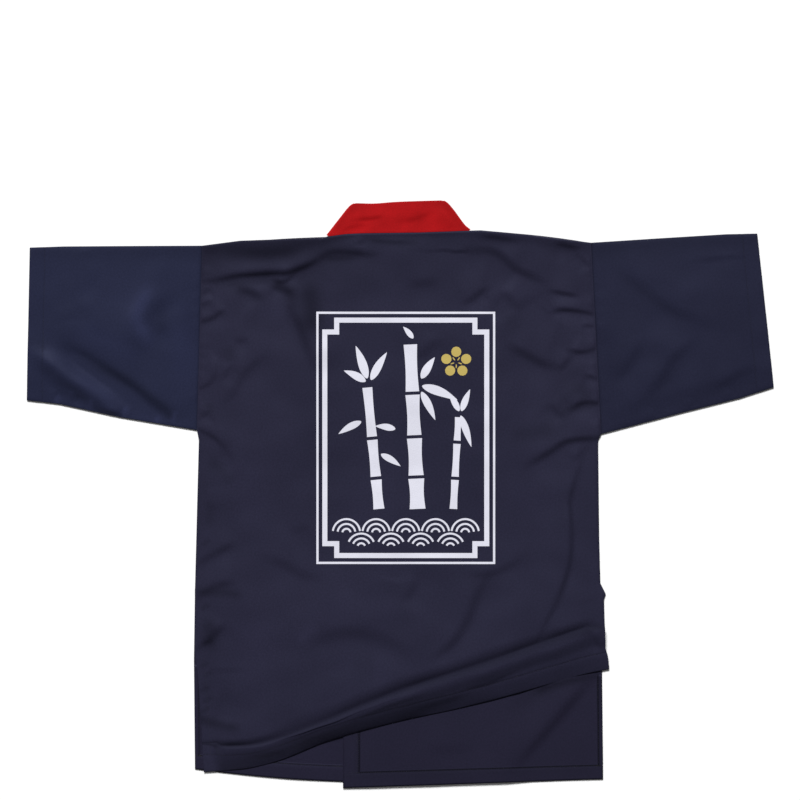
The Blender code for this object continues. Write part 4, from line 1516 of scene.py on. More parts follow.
@dataclass
class FrontPanel:
    """One front, its inside uppermost, with the turned hem and the facing that show there."""

    name: str
    rows: tuple[FrontRow, ...]
    creases: tuple[Crease, ...]
    # Painted shade on the panel's cloth, as a table of swells
    painted_shading: tuple[Swell, ...]
    cloth: bpy.types.Material
    thread: bpy.types.Material
    raised: bool
    sheet: Sheet
    cell: float = 0.005
    side_cell: float = 0.0015
    ripple: Ripple = Ripple(0.3, 60, 2.9)
    # Where the raised front comes down beside the lapel, and where its front edge is held down
    raised_until: Ramp = Ramp(FRONT_STEP + LIFT_RUN, -LIFT_RUN)
    held_until: Ramp = Ramp(RIGHT_FRONT_EDGE, 0.05)
    held_below: Ramp = Ramp(-0.16, -0.06)
    held_share: float = 0.9
    # The turned strips: widths, upper ends as table rows, numbers of lines, and how they lie
    hem_depth: float = 0.0225
    facing_width: float = 0.0235
    vent_width: float = 0.0075
    facing_top: float = 2.0
    vent_top: float = 0.96
    strip_foot: float = 0.3
    strip_inset: float = 0.0004
    strip_lines: tuple[float, ...] = (0.0, 0.0006, 0.0012, 0.0018, 0.0024, 0.003, 0.0044)
    plain_from: float = 0.0065
    hem_plain_from: float = 0.006
    vent_plain: float = 0.0015
    plain_lines: tuple[int, int] = (7, 8)
    long_lines: tuple[int, int, int] = (90, 40, 120)
    turned_wall: float = 0.0004
    strip_gap: float = 0.00005
    layer_rise: float = 0.00025
    edge_dip: float = 0.00045
    strip_edge: Ramp = Ramp(-0.0008, 0.007)
    # Painted shade on the strips: a line along their sewn seam, whose inset also places the vent's stitches,
    # and on the raised front an even shade that deepens towards their sewn edge
    seam_shade: float = 0.55
    seam_inset: float = 0.0018
    seam_width: float = 0.0009
    plain_shade: float = 0.08
    edge_shade: float = 0.2
    edge_shade_run: float = 0.0065
    # The stitching: distances from the sewn edges, upper ends as table rows, and the bar tack
    seam_rise: float = 0.00015
    hem_seam: float = 0.0022
    hem_seam_ends: tuple[float, float] = (0.004, 0.003)
    facing_seams: tuple[float, float] = (0.0022, 0.0048)
    facing_seam_top: float = 1.9
    vent_seam_top: float = 0.95
    seam_places: tuple[int, int, int] = (160, 200, 100)
    tack_rows: int = 5
    tack_pitch: float = 0.0006
    tack_drop: float = 0.001
    tack_ends: tuple[float, float] = (0.002, 0.012)
    tack_places: int = 6

    def plan(self, share: np.ndarray, up: np.ndarray) -> tuple[np.ndarray, np.ndarray]:
        """Plan places from shares across, side to front edge, and table rows up from the hem.

        Args:
            share: Shares across.
            up: Table rows up from the hem.

        Returns:
            Places across and along the coat.
        """
        index = np.arange(len(self.rows))
        side_x, side_y, edge_x, edge_y, bow = (
            np.interp(up, index, column_of(self.rows, name)) for name in FrontRow._fields)
        bowed = bow * 4.0 * share * (1.0 - share)
        return mix(side_x, edge_x, share), mix(side_y, edge_y, share) + bowed

    def height(self, x: np.ndarray, y: np.ndarray) -> np.ndarray:
        """Middle height of the panel at plan places.

        Args:
            x: Places of the points across the coat.
            y: Places of the points along the coat.

        Returns:
            The heights.
        """
        z = np.full_like(x, FLOOR_LAYER)
        if self.raised:
            z = mix(FLOOR_LAYER, RAISED_FRONT, self.raised_until.at(x))
            held = self.held_share * (1.0 - self.held_until.at(x)) * self.held_below.at(y)
            z = mix(z, FLOOR_LAYER + WALL + SEAM, held)
        bend = relief(self.creases, x, y) + MM * (self.ripple.rise + self.ripple.height(x, y))
        return z + np.maximum(bend, 0.0)

    def surface(self, share: np.ndarray, up: np.ndarray, lift_by: Values = 0.0) -> np.ndarray:
        """Points of the panel, moved up by a lift."""
        x, y = self.plan(share, up)
        return np.dstack([x, y, self.height(x, y) + lift_by])

    def lengths(self) -> tuple[float, float]:
        """Width of the panel at its hem, and height of its lowest table row."""
        low, high = self.rows[0], self.rows[1]
        return abs(low.edge_x - low.side_x), abs(high.edge_y - low.edge_y)

    def strip(self, kind: str, share: np.ndarray, up: np.ndarray, layers: int,
              inside: np.ndarray) -> bpy.types.Object:
        """A turned strip that lies on the panel.

        Args:
            kind: Second half of the piece's name.
            share: Shares of the way from the side edge to the front edge.
            up: Table rows up from the hem.
            layers: Which layer of cloth on the panel it is.
            inside: Distances from the strip's sewn edge, along its shares or its rows.

        Returns:
            The piece.
        """
        shares, ups = np.meshgrid(share, up)
        least = WALL / 2.0 + self.turned_wall / 2.0 + self.strip_gap
        full = least + self.layer_rise * (layers - 1)
        lift_by = mix(least - self.edge_dip, full, self.strip_edge.at(inside))
        # Painted shade along the sewn seam, and on the raised front over the whole strip
        shade = self.seam_shade * bell(inside - self.seam_inset, self.seam_width)
        if self.raised:
            shade = shade + self.plain_shade + self.edge_shade * bell(inside, self.edge_shade_run)
        grid = ClothGrid.from_points(self.surface(shares, ups, lift_by), shade=shade)
        piece = grid.mesh_object(f"{self.name}_{kind}", self.turned_wall)
        dress(piece, self.cloth)
        return piece

    def strips(self, wide: float, tall: float) -> list[bpy.types.Object]:
        """Make the facing and the turnings of the vent and the hem.

        Args:
            wide: Width of the panel at its hem.
            tall: Height of its lowest table row.

        Returns:
            The pieces.
        """
        inset, sewn = self.strip_inset, np.array(self.strip_lines)
        facing_in = np.linspace(self.plain_from, self.facing_width - inset, self.plain_lines[0])
        facing_in = np.concatenate([sewn, facing_in])
        vent_in = np.concatenate([sewn, [self.vent_width - self.vent_plain, self.vent_width - inset]])
        hem_in = np.linspace(self.hem_depth - inset, self.hem_plain_from, self.plain_lines[1])
        hem_in = np.concatenate([hem_in, sewn[::-1]])
        foot = self.hem_depth * self.strip_foot / tall
        facing_up = np.linspace(foot, self.facing_top, self.long_lines[0])
        vent_up = np.linspace(foot, self.vent_top, self.long_lines[1])
        hem_share = np.linspace(inset, wide - inset, self.long_lines[2]) / wide
        return [
            self.strip("facing", 1.0 - (self.facing_width - facing_in) / wide, facing_up, 1, facing_in),
            self.strip("vent_turning", (self.vent_width - vent_in) / wide, vent_up, 1, vent_in),
            self.strip("hem_turning", hem_share, (self.hem_depth - hem_in) / tall, 2, hem_in[:, None]),
        ]

    def sew(self, sewing: Stitching, share: Values, up: Values, layers: int) -> None:
        """Sew along a line of the panel over a number of turned layers."""
        share, up = np.broadcast_arrays(share, up)
        line = self.surface(share[None, :], up[None, :])[0]
        out = np.tile([0.0, 0.0, 1.0], (len(line), 1))
        sewing.run(line, out, WALL / 2.0 + self.turned_wall + self.seam_rise * (layers - 1))

    def stitches(self, wide: float, tall: float) -> bpy.types.Object:
        """Sew the hem, the facing and the vent, and the bar tack that holds the vent's foot.

        Args:
            wide: Width of the panel at its hem.
            tall: Height of its lowest table row.

        Returns:
            The stitches.
        """
        sewing = Stitching(f"{self.name}_stitches")
        along_hem, along_facing, along_vent = self.seam_places
        across = np.linspace(self.hem_seam_ends[0], wide - self.hem_seam_ends[1], along_hem) / wide
        self.sew(sewing, across, (self.hem_depth - self.hem_seam) / tall, 2)
        upward = np.linspace(self.hem_depth / tall, self.facing_seam_top, along_facing)
        for inside in self.facing_seams:
            self.sew(sewing, 1.0 - (self.facing_width - inside) / wide, upward, 1)
        upward = np.linspace(self.hem_depth / tall, self.vent_seam_top, along_vent)
        self.sew(sewing, (self.vent_width - self.seam_inset) / wide, upward, 1)
        across = np.linspace(*self.tack_ends, self.tack_places) / wide
        for index in range(self.tack_rows):
            self.sew(sewing, across, (self.hem_depth - self.tack_drop - self.tack_pitch * index) / tall, 2)
        return sewing.build(self.thread, NAVY_SLOT)

    def build(self) -> bpy.types.Object:
        """Make the panel, its strips and its stitching.

        Returns:
            The panel.
        """
        wide, tall = self.lengths()
        share = stretches((self.side_cell, self.side_cell), (wide - self.side_cell, self.cell),
                          (wide, self.side_cell))
        ups = []
        for index, (low, high) in enumerate(zip(self.rows, self.rows[1:])):
            count = max(1, round(abs(high.edge_y - low.edge_y) / self.cell))
            ups.append(index + np.arange(count) / count)
        shares, uppers = np.meshgrid(share, np.concatenate(ups + [[len(self.rows) - 1.0]]))
        # Painted shade from the panel's table, such as the shadow that the roll casts on the right front
        shade = tone(self.painted_shading, *self.plan(shares, uppers))
        grid = ClothGrid.from_points(self.surface(shares, uppers), shade=shade)
        self.piece = grid.mesh_object(f"{self.name}_cloth", WALL)
        dress(self.piece, self.cloth)
        self.extras = [*self.strips(wide, tall), self.stitches(wide, tall)]
        return self.piece


@dataclass
class Sleeve:
    """One short sleeve: a flattened tube with a turned cuff."""

    name: str
    rows: tuple[SleeveRow, ...]
    creases: tuple[Crease, ...]
    # Painted shade and light on the upper layer, as a table of swells
    painted_shading: tuple[Swell, ...]
    cloth: bpy.types.Material
    thread: bpy.types.Material
    sheet: Sheet
    cell: float = 0.0036
    edge_steps: int = 6
    upper_steps: int = 70
    under_steps: int = 34
    # How far the tube's layers lie apart, and how its upper layer lofts and is held down
    turn: float = 0.0009
    loft: float = 0.0026
    loft_run: float = 0.034
    softness: float = 0.0006
    edge_run: float = 0.006
    edge_hold: float = 0.1
    calm_top: Ramp = Ramp(0.011, 0.11)
    calm_armhole: Ramp = Ramp(0.0, 0.03)
    calm_cuff: Ramp = Ramp(0.0, 0.05)
    calm_shares: tuple[float, float, float] = (0.3, 0.25, 0.5)
    firmness: float = 0.75
    ripples: tuple[Ripple, ...] = (Ripple(0.9, 80, 6.3), Ripple(0.4, 32, 2.2))
    armhole_pucker: Pucker = Pucker(0.4, 13, 12, 7.7)
    edge_pucker: Pucker = Pucker(0.4, 18, 9, 4.9)
    under_share: float = 0.2
    under_most: float = 0.0006
    under_run: float = 0.02
    armhole_drop: float = 0.0001
    # The turned cuff, its lines as shares of its depth
    cuff_depth: float = 0.0205
    cuff_lines: tuple[float, ...] = (0.72, 0.52, 0.34, 0.18, 0.07, 0.0)
    cuff_edge: float = 0.006
    doubling: float = 0.6
    groove: float = 0.0001
    groove_width: float = 0.0012
    # Painted shade along the cuff's seam, the top edge and the armhole
    cuff_shade: float = 0.12
    cuff_shade_run: float = 0.001
    top_shade: float = 0.16
    top_shade_run: float = 0.02
    armhole_shade: float = 0.42
    armhole_shade_run: float = 0.0016

    def along(self) -> tuple[np.ndarray, np.ndarray]:
        """Distances from the armhole of every section, and those left to the cuff's edge.

        Returns:
            A distance of either kind for each section.
        """
        length = abs(self.rows[-1].top_x - self.rows[0].top_x)
        hem = length - self.cuff_depth
        start, stop = PRESSED_LINES[-1], hem + SEWN_LINES[0]
        middle = np.linspace(start, stop, round((stop - start) / self.cell) + 1)[1:]
        rest = length - self.cuff_depth * np.array(self.cuff_lines)
        places = np.concatenate([PRESSED_LINES, middle, hem + np.array(SEWN_LINES[1:]), rest])
        return places[:, None], (length - places)[:, None]

    def ring(self) -> tuple[np.ndarray, ...]:
        """Round of the flattened tube: shares across, layers, and how far each place bulges sideways.

        Returns:
            A value of each kind for every place round the tube.
        """
        angles = [math.pi * index / self.edge_steps for index in range(1, self.edge_steps)]
        steps = [(index / self.upper_steps, 1.0, 0.0) for index in range(self.upper_steps + 1)]
        steps += [(1.0, 0.5 + 0.5 * math.cos(angle), math.sin(angle)) for angle in angles]
        steps += [(1.0 - index / self.under_steps, 0.0, 0.0) for index in range(self.under_steps + 1)]
        steps += [(0.0, 0.5 - 0.5 * math.cos(angle), -math.sin(angle)) for angle in angles]
        return tuple(np.array(column) for column in zip(*steps, steps[0]))

    def upper_rise(self, x: np.ndarray, y: np.ndarray, from_top: np.ndarray, from_edge: np.ndarray,
                   gone: np.ndarray, left: np.ndarray) -> np.ndarray:
        """Rise of the upper layer.

        Args:
            x: Places of the points across the coat.
            y: Places of the points along the coat.
            from_top: Distances from the top edge.
            from_edge: Distances from the nearer edge.
            gone: Distances from the armhole.
            left: Distances from the cuff's edge.

        Returns:
            The heights above the flat tube.
        """
        at_top, at_armhole, at_cuff = self.calm_shares
        loose = ease(from_edge / self.loft_run) * mix(at_top, 1.0, self.calm_top.at(from_top))
        loose = loose * mix(at_armhole, 1.0, self.calm_armhole.at(gone))
        loose = loose * mix(at_cuff, 1.0, self.calm_cuff.at(left))
        rise = loose * self.loft + relief(self.creases + self.ripples, x, y) * mix(self.firmness, 1.0, loose)
        rise += MM * self.armhole_pucker.height(y, gone * np.ones_like(y))
        rise += MM * self.edge_pucker.height(x, from_edge)
        return settle(rise, self.softness) * ease(self.edge_hold + from_edge / self.edge_run)

    def grid(self) -> ClothGrid:
        """Points of the sleeve, a closed round for each section.

        Returns:
            The grid, with its wall and its shade.
        """
        gone, left = self.along()
        share, layer, sideways = self.ring()
        upper = layer == 1.0
        keys = [abs(row.top_x - self.rows[0].top_x) for row in self.rows]
        start_x, start_y, end_x, end_y = (
            np.interp(gone, keys, column_of(self.rows, name)) for name in SleeveRow._fields)
        width = np.hypot(end_x - start_x, end_y - start_y)
        inset = (self.turn + share * (width - 2.0 * self.turn) + self.turn * sideways) / width
        x, y = mix(start_x, end_x, inset), mix(start_y, end_y, inset)

        from_top, from_edge = share * width, np.minimum(share, 1.0 - share) * width
        rise = self.upper_rise(x, y, from_top, from_edge, gone, left)
        under = self.under_share * relief(self.creases, 2.0 * x.mean() - x, y) * (layer == 0.0)
        under = np.clip(under, 0.0, self.under_most) * ease(from_edge / self.under_run)
        z = FLOOR_LAYER + 2.0 * self.turn * layer + np.where(upper, rise, under)
        at_armhole = ARMHOLE_LEVEL - WALL - self.armhole_drop
        z = np.where(upper, mix(at_armhole, z, ease(gone / PRESSED_LINES[-1])), z)
        z = z - self.groove * bell(left - self.cuff_depth, self.groove_width) * upper
        doubled = self.doubling * (1.0 - ease((left - self.cuff_depth + self.cuff_edge) / self.cuff_edge))
        # Painted shade along the cuff's seam, the top edge and the armhole, and the painted shading table on
        # the upper layer
        shade = self.cuff_shade * bell(left - self.cuff_depth, self.cuff_shade_run)
        shade = shade + self.top_shade * bell(from_top, self.top_shade_run)
        shade = shade + self.armhole_shade * bell(gone, self.armhole_shade_run)
        shade += tone(self.painted_shading, x, y) * upper
        self.cuff_row = int(np.argmin(np.abs(left - self.cuff_depth)))
        return ClothGrid.from_points(np.dstack([x, y, z]), doubled, shade)

    def build(self) -> bpy.types.Object:
        """Make the sleeve and its stitching.

        Returns:
            The sleeve.
        """
        grid = self.grid()
        self.piece = grid.mesh_object(f"{self.name}_cloth", WALL, TURNED_WALL, tube=True)
        dress(self.piece, self.cloth)
        up = grid.normals()[self.cuff_row]
        up *= np.sign(up[self.upper_steps // 2, 2])
        upper = slice(1, self.upper_steps)
        sewing = Stitching(f"{self.name}_stitches")
        sewing.run(grid.points[self.cuff_row, upper], up[upper], WALL / 2.0)
        self.extras = [sewing.build(self.thread, NAVY_SLOT)]
        return self.piece


@dataclass
class Collar:
    """The doubled band: both lapels, the folds at the sides of the neck and the back of the collar."""

    cloth: bpy.types.Material
    thread: bpy.types.Material
    turn_steps: int = 10
    across: int = 16
    near_fold: float = 0.012
    fold_cell: float = 0.0014
    lapel_cell: float = 0.01
    back_cell: float = 0.0034
    left_corner: float = 0.018
    right_corner: float = 0.015
    # How far the upper edge sags, and where it does, as shares of its length
    sag: float = 0.0014
    sag_place: float = 0.22
    sag_width: float = 0.16
    # How far the foot of the right-hand fold is drawn in, between which shares of the band's width
    drawn_in: float = 0.0022
    drawn_from: Ramp = Ramp(0.0, 0.12)
    drawn_until: Ramp = Ramp(0.16, 0.55)
    drawn_run: float = 0.012
    drawn_lines: int = 8
    crease_run: float = 0.02
    # The rounding of the band's edges
    rounding: float = 0.0006
    rounding_steps: int = 3
    rounding_angle: float = 50.0
    stitch_thickness: float = 0.0004
    sheet: Sheet = Sheet((0.046, 1.23), 0.056, Lay.FOLDED, ("front_left", "front_right", "back"))

    def section(self, seam: Vector, free: Vector, height: float) -> list[Vector]:
        """One line of points across the band, from its seam edge to its free edge."""
        plans = [seam.lerp(free, step / self.across) for step in range(self.across + 1)]
        return [Vector((plan.x, plan.y, height)) for plan in plans]

    def lapel_ends(self, neck: Place, end_x: float, side: float) -> tuple[Vector, Vector]:
        """Seam edge and free edge of a lapel at its lower end."""
        seam = Vector((end_x, LAPEL_END_Y))
        run = (seam - Vector(neck)).normalized()
        across = Vector((-run.y, run.x)) * side
        return seam + across * SEAM, seam + across * COLLAR_WIDTH

    def free_top(self, tip: Place, slant: Vector, outward: Vector, radius: float) -> Vector:
        """Where the flat layers' free edge meets the fold.

        Args:
            tip: The fold's outer corner.
            slant: Direction of the fold, up to the corner.
            outward: Direction out of the collar, across the fold.
            radius: Radius of the fold.

        Returns:
            The place, on the line of the collar's upper edge.
        """
        rise = (COLLAR_TIP_RIGHT[1] - COLLAR_TIP_LEFT[1]) / (COLLAR_TIP_RIGHT[0] - COLLAR_TIP_LEFT[0])
        shift = -outward * radius
        along = (rise * shift.x - shift.y) / (slant.y - rise * slant.x)
        return Vector(tip) + shift + slant * along

    def half(self, neck: Place, tip: Place, end_x: float, side: float, low: float) -> list[list[Vector]]:
        """Lapel and fold of one side.

        Args:
            neck: Where the neck seam meets the fold.
            tip: Where the free edge meets the fold.
            end_x: Front edge that the lapel ends at.
            side: 1 on the left and -1 on the right.
            low: Middle height of the lapel.

        Returns:
            Lines across the band, from the lapel's end to the start of the collar's back.
        """
        radius = (COLLAR_TOP - low) / 2.0
        seam_end, free_end = self.lapel_ends(neck, end_x, side)
        slant = (Vector(tip) - Vector(neck)).normalized()
        outward = Vector((-slant.y, slant.x)) * side
        seam_top = Vector(neck) - outward * radius
        seam_top.y = float(top_y(seam_top.x)) + SEAM
        free_top = self.free_top(tip, slant, outward, radius)
        length = (free_top - free_end).length
        lines = []
        for share in stretches((length - self.near_fold, self.lapel_cell), (length, self.fold_cell)):
            lines.append(self.section(seam_end.lerp(seam_top, share), free_end.lerp(free_top, share), low))
        for step in range(1, self.turn_steps):
            angle = math.pi * step / self.turn_steps
            shift = outward * (radius * math.sin(angle))
            height = low + radius * (1.0 - math.cos(angle))
            lines.append(self.section(seam_top + shift, free_top + shift, height))
        lines.append(self.section(seam_top, free_top, COLLAR_TOP))
        return lines

    def grid(self) -> ClothGrid:
        """Points of the whole band, from the left lapel's end over the neck to the right.

        Returns:
            The grid, with its wall and its shade.
        """
        left = self.half(NECK_LEFT, COLLAR_TIP_LEFT, LEFT_FRONT_EDGE, 1.0, LOW_LAPEL)
        right = self.half(NECK_RIGHT, COLLAR_TIP_RIGHT, RIGHT_FRONT_EDGE, -1.0, HIGH_LAPEL)
        start, end = left[-1], right[-1]
        length = (end[-1] - start[-1]).length
        shares = stretches((self.near_fold, self.fold_cell), (length - self.near_fold, self.back_cell),
                           (length, self.fold_cell))
        middle = []
        for share in shares[1:-1]:
            seam = start[0].lerp(end[0], share).xy
            seam.y = max(seam.y, float(top_y(seam.x)) + SEAM)
            free = start[-1].lerp(end[-1], share).xy
            free.y -= self.sag * bell(share - self.sag_place, self.sag_width)
            middle.append(self.section(seam, free, COLLAR_TOP))
        points = np.array([[tuple(point) for point in line] for line in left + middle + right[::-1]])
        self.round_corner(points, NECK_LEFT, COLLAR_TIP_LEFT, COLLAR_TIP_RIGHT, self.left_corner)
        self.round_corner(points, NECK_RIGHT, COLLAR_TIP_RIGHT, COLLAR_TIP_LEFT, self.right_corner)
        self.draw_in_slant(points[len(left) + len(middle) - self.drawn_lines:])
        self.neck = slice(len(left) - 1, len(left) + len(middle) + 1)
        x, y = points[self.neck, :, 0], points[self.neck, :, 1]
        from_slant = np.minimum(x - x[0], x[-1] - x)
        points[self.neck, :, 2] += relief(COLLAR_CREASES, x, y) * ease(from_slant / self.crease_run)
        return ClothGrid.from_points(points)

    def round_corner(self, points: np.ndarray, foot: Place, corner: Place, far: Place, radius: float) -> None:
        """Move points that lie outside a rounded corner onto its arc.

        Args:
            points: Points of the band, changed in place.
            foot: Where the slanting side starts.
            corner: Where both sides meet.
            far: Where the upper side ends.
            radius: Radius of the arc.
        """
        up = (Vector(corner) - Vector(foot)).normalized()
        out = (Vector(corner) - Vector(far)).normalized()
        half = up.angle(out) / 2.0
        centre = Vector(corner) - (up + out).normalized() * (radius / math.sin(half))
        x, y = points[:, :, 0] - centre.x, points[:, :, 1] - centre.y
        away = np.hypot(x, y)
        outside = (x * up.x + y * up.y > 0.0) & (x * out.x + y * out.y > 0.0) & (away > radius)
        scale = np.where(outside, radius / np.maximum(away, radius), 1.0)
        points[:, :, 0] = centre.x + x * scale
        points[:, :, 1] = centre.y + y * scale

    def draw_in_slant(self, points: np.ndarray) -> None:
        """Draw the right-hand fold in a little near its foot, where the slant bends outward.

        Args:
            points: Points of the band, changed in place.
        """
        share = np.linspace(0.0, 1.0, self.across + 1)
        amount = self.drawn_in * self.drawn_from.at(share) * (1.0 - self.drawn_until.at(share))
        middle_x = points[:, self.across // 2, 0]
        near = bell(middle_x - middle_x.max(), self.drawn_run)
        points[:, :, 0] -= amount[None, :] * near[:, None]

    def build(self) -> bpy.types.Object:
        """Make the band with its rounded edges and the stitching along its seam.

        Returns:
            The band.
        """
        grid = self.grid()
        self.piece = grid.mesh_object("collar_cloth", BAND_WALL)
        rounding = self.piece.modifiers.new("rounded edges", "BEVEL")
        rounding.width = self.rounding
        rounding.segments = self.rounding_steps
        rounding.limit_method = "ANGLE"
        rounding.angle_limit = math.radians(self.rounding_angle)
        dress(self.piece, self.cloth)
        up = grid.normals()[self.neck]
        up *= np.sign(up[len(up) // 2, self.across // 2, 2])
        sewing = Stitching("collar_stitches", thickness=self.stitch_thickness)
        sewing.run(grid.points[self.neck, 1], up[:, 1], BAND_WALL / 2.0)
        self.extras = [sewing.build(self.thread, RED_SLOT)]
        return self.piece


class StrokeEnd(Enum):
    """How a printed stroke ends."""

    SQUARE = "square"
    ROUND = "round"
    POINTED = "pointed"


@dataclass(frozen=True)
class Stroke:
    """One stroke of the print, its route in metres from the print's centre."""

    route: Route
    width: float
    end: StrokeEnd = StrokeEnd.SQUARE
    waist: float = 0.0
    least: float = 0.00005
    # Where a pointed stroke is broadest, the lower the nearer to its start, and how fast it tapers
    belly: float = 0.72
    point: float = 0.85

    def widths(self, share: np.ndarray, length: float) -> np.ndarray:
        """Half widths along the stroke.

        Args:
            share: Shares of the way along it.
            length: Length of the stroke.

        Returns:
            Half widths, tapered as the stroke ends and drawn in at its waist.
        """
        half = np.full_like(share, self.width / 2.0)
        half *= 1.0 - self.waist * np.sin(math.pi * share)
        if self.end is StrokeEnd.ROUND:
            from_end = np.minimum(share, 1.0 - share) * length
            inside = np.clip(1.0 - from_end / (self.width / 2.0), 0.0, 1.0)
            half *= np.sqrt(1.0 - inside ** 2)
        if self.end is StrokeEnd.POINTED:
            half *= np.sin(math.pi * share ** self.belly) ** self.point
        return np.maximum(half, self.least)


def off(place: Place, angle: float, away: float) -> Place:
    """Place at a distance from another one, at an angle in degrees."""
    turn = math.radians(angle)
    return place[0] + away * math.cos(turn), place[1] + away * math.sin(turn)


def leaf(start: Place, angle: float, length: float, width: float) -> Stroke:
    """A pointed leaf that starts at a place and runs off at an angle in degrees, drooping a little."""
    tip_x, tip_y = off(start, angle, length)
    route = (start, off(start, angle, LEAF_BEND * length), (tip_x, tip_y - LEAF_DROOP * length))
    return Stroke(route, width, StrokeEnd.POINTED)


@dataclass
class BackPrint:
    """A framed print of bamboo over rolling waves, with a small gold blossom."""

    ink: bpy.types.Material
    gold: bpy.types.Material
    centre: Place = (0.0071, 0.0766)
    width: float = 0.241
    height: float = 0.34
    outer_line: float = 0.003
    inner_line: float = 0.0068
    frame_gap: float = 0.005
    notch: float = 0.016
    # Bamboo: stalks as foot, top, width and joints, the gap at a joint, the taper and the waist
    stalks: tuple[tuple[Place, Place, float, tuple[float, ...]], ...] = (
        ((0.016, -0.098), (0.006, 0.128), 0.0215, (0.0, 0.2, 0.44, 0.7, 1.0)),
        ((-0.036, -0.098), (-0.052, 0.07), 0.015, (0.0, 0.26, 0.58, 1.0)),
        ((0.064, -0.098), (0.071, 0.03), 0.0105, (0.0, 0.34, 0.72, 1.0)),
    )
    joint_gap: float = 0.0022
    taper: float = 0.05
    waist: float = 0.13
    # Leaves as place, angle in degrees, length and width
    leaves: tuple[tuple[Place, float, float, float], ...] = (
        ((-0.054, 0.076), 150.0, 0.034, 0.0105), ((-0.052, 0.08), 108.0, 0.05, 0.012),
        ((-0.047, 0.078), 62.0, 0.046, 0.011), ((-0.06, 0.022), 205.0, 0.034, 0.0095),
        ((0.021, 0.08), 60.0, 0.036, 0.011), ((0.022, 0.07), -18.0, 0.05, 0.0125),
        ((0.021, 0.062), -62.0, 0.04, 0.0105), ((-0.014, 0.012), 168.0, 0.028, 0.009),
        ((0.072, 0.036), 118.0, 0.03, 0.0085), ((0.075, 0.036), 70.0, 0.034, 0.009),
        ((0.074, 0.03), -70.0, 0.042, 0.0095), ((-0.0335, -0.022), -28.0, 0.03, 0.009),
        ((0.01, 0.134), 128.0, 0.022, 0.0075),
    )
    # Waves: rows as number, height on the coat and angle at which the arcs start
    wave_rows: tuple[tuple[int, float, float], ...] = ((5, -0.128, 8.0), (4, -0.1475, 24.0))
    wave_radii: tuple[float, ...] = (0.0185, 0.012, 0.0055)
    wave_pitch: float = 0.04
    wave_line: float = 0.0026
    wave_places: int = 13
    # Blossom: petals and stamens as where they start and end on the way out, and how wide they are
    blossom: Place = (0.068, 0.102)
    petals: int = 5
    petal: tuple[float, float, float] = (0.007, 0.021, 0.0136)
    stamen: tuple[float, float, float] = (0.0026, 0.0084, 0.0016)
    # How far the ink lies above the cloth, and how its strokes are spread over thin layers
    lift: float = 0.00012
    layers: int = 4
    layer_lift: float = 0.00002
    cell: float = 0.0024
    ray_height: float = 0.2

    def sides(self, side: float, x: float, y: float, cut: float, line: float) -> list[Stroke]:
        """A side across and an upright side of a frame, cut short of its corners.

        Args:
            side: 1 for the upper and right-hand sides, -1 for the others.
            x: Half width of the frame.
            y: Half height of the frame.
            cut: How far the sides stop short.
            line: Width of the line.

        Returns:
            Both strokes.
        """
        long, tall = x - cut + line / 2.0, y - cut - line / 2.0
        return [Stroke(((-long, side * y), (long, side * y)), line),
                Stroke(((side * x, -tall), (side * x, tall)), line)]

    def frame_strokes(self) -> list[Stroke]:
        """A thin plain frame, and inside it a broad one with stepped corners.

        Returns:
            The strokes of both.
        """
        strokes = []
        half_x = self.width / 2.0 - self.outer_line / 2.0
        half_y = self.height / 2.0 - self.outer_line / 2.0
        inset = self.outer_line / 2.0 + self.frame_gap + self.inner_line / 2.0
        in_x, in_y = half_x - inset, half_y - inset
        over = self.inner_line / 2.0
        for side in (-1.0, 1.0):
            strokes += self.sides(side, half_x, half_y, 0.0, self.outer_line)
        for side in (-1.0, 1.0):
            strokes += self.sides(side, in_x, in_y, self.notch, self.inner_line)
            for end in (-1.0, 1.0):
                corner_x, corner_y = side * (in_x - self.notch), end * (in_y - self.notch)
                down = ((corner_x, end * (in_y - over)), (corner_x, corner_y - end * over))
                out = ((corner_x + side * over, corner_y), (side * (in_x + over), corner_y))
                strokes += [Stroke(down, self.inner_line), Stroke(out, self.inner_line)]
        return strokes

    def stalk(self, low: Place, high: Place, width: float, joints: tuple[float, ...]) -> list[Stroke]:
        """A bamboo stalk.

        Args:
            low: Its foot.
            high: Its top.
            width: Its width at the foot.
            joints: Shares of the way up at which one length ends and the next starts.

        Returns:
            One stroke for each length, each a little thinner than the one below.
        """
        strokes = []
        gap = self.joint_gap / math.dist(low, high)
        for index, (start, stop) in enumerate(zip(joints, joints[1:])):
            ends = tuple((mix(low[0], high[0], share), mix(low[1], high[1], share))
                         for share in (start + gap, stop - gap))
            strokes.append(Stroke(ends, width * (1.0 - self.taper * index), waist=self.waist))
        return strokes

    def bamboo_strokes(self) -> list[Stroke]:
        """The stalks and their leaves."""
        lengths = [stroke for stalk in self.stalks for stroke in self.stalk(*stalk)]
        return lengths + [leaf(*row) for row in self.leaves]

    def wave_strokes(self) -> list[Stroke]:
        """Rows of overlapping round waves along the bottom.

        Returns:
            The strokes, row by row.
        """
        strokes = []
        for count, y, start in self.wave_rows:
            angles = np.linspace(start, 180.0 - start, self.wave_places)
            for index in range(count):
                middle = ((index - (count - 1) / 2.0) * self.wave_pitch, y)
                for radius in self.wave_radii:
                    route = tuple(off(middle, angle, radius) for angle in angles)
                    strokes.append(Stroke(route, self.wave_line))
        return strokes

    def blossom_strokes(self) -> list[Stroke]:
        """Round petals about a ring of stamens.

        Returns:
            The strokes of the petals and stamens.
        """
        strokes = []
        turn = 360.0 / self.petals
        for index in range(self.petals):
            for shift, (start, stop, width) in ((0.0, self.petal), (0.5, self.stamen)):
                angle = 90.0 + turn * (index + shift)
                route = (off(self.blossom, angle, start), off(self.blossom, angle, stop))
                strokes.append(Stroke(route, width, StrokeEnd.ROUND))
        return strokes

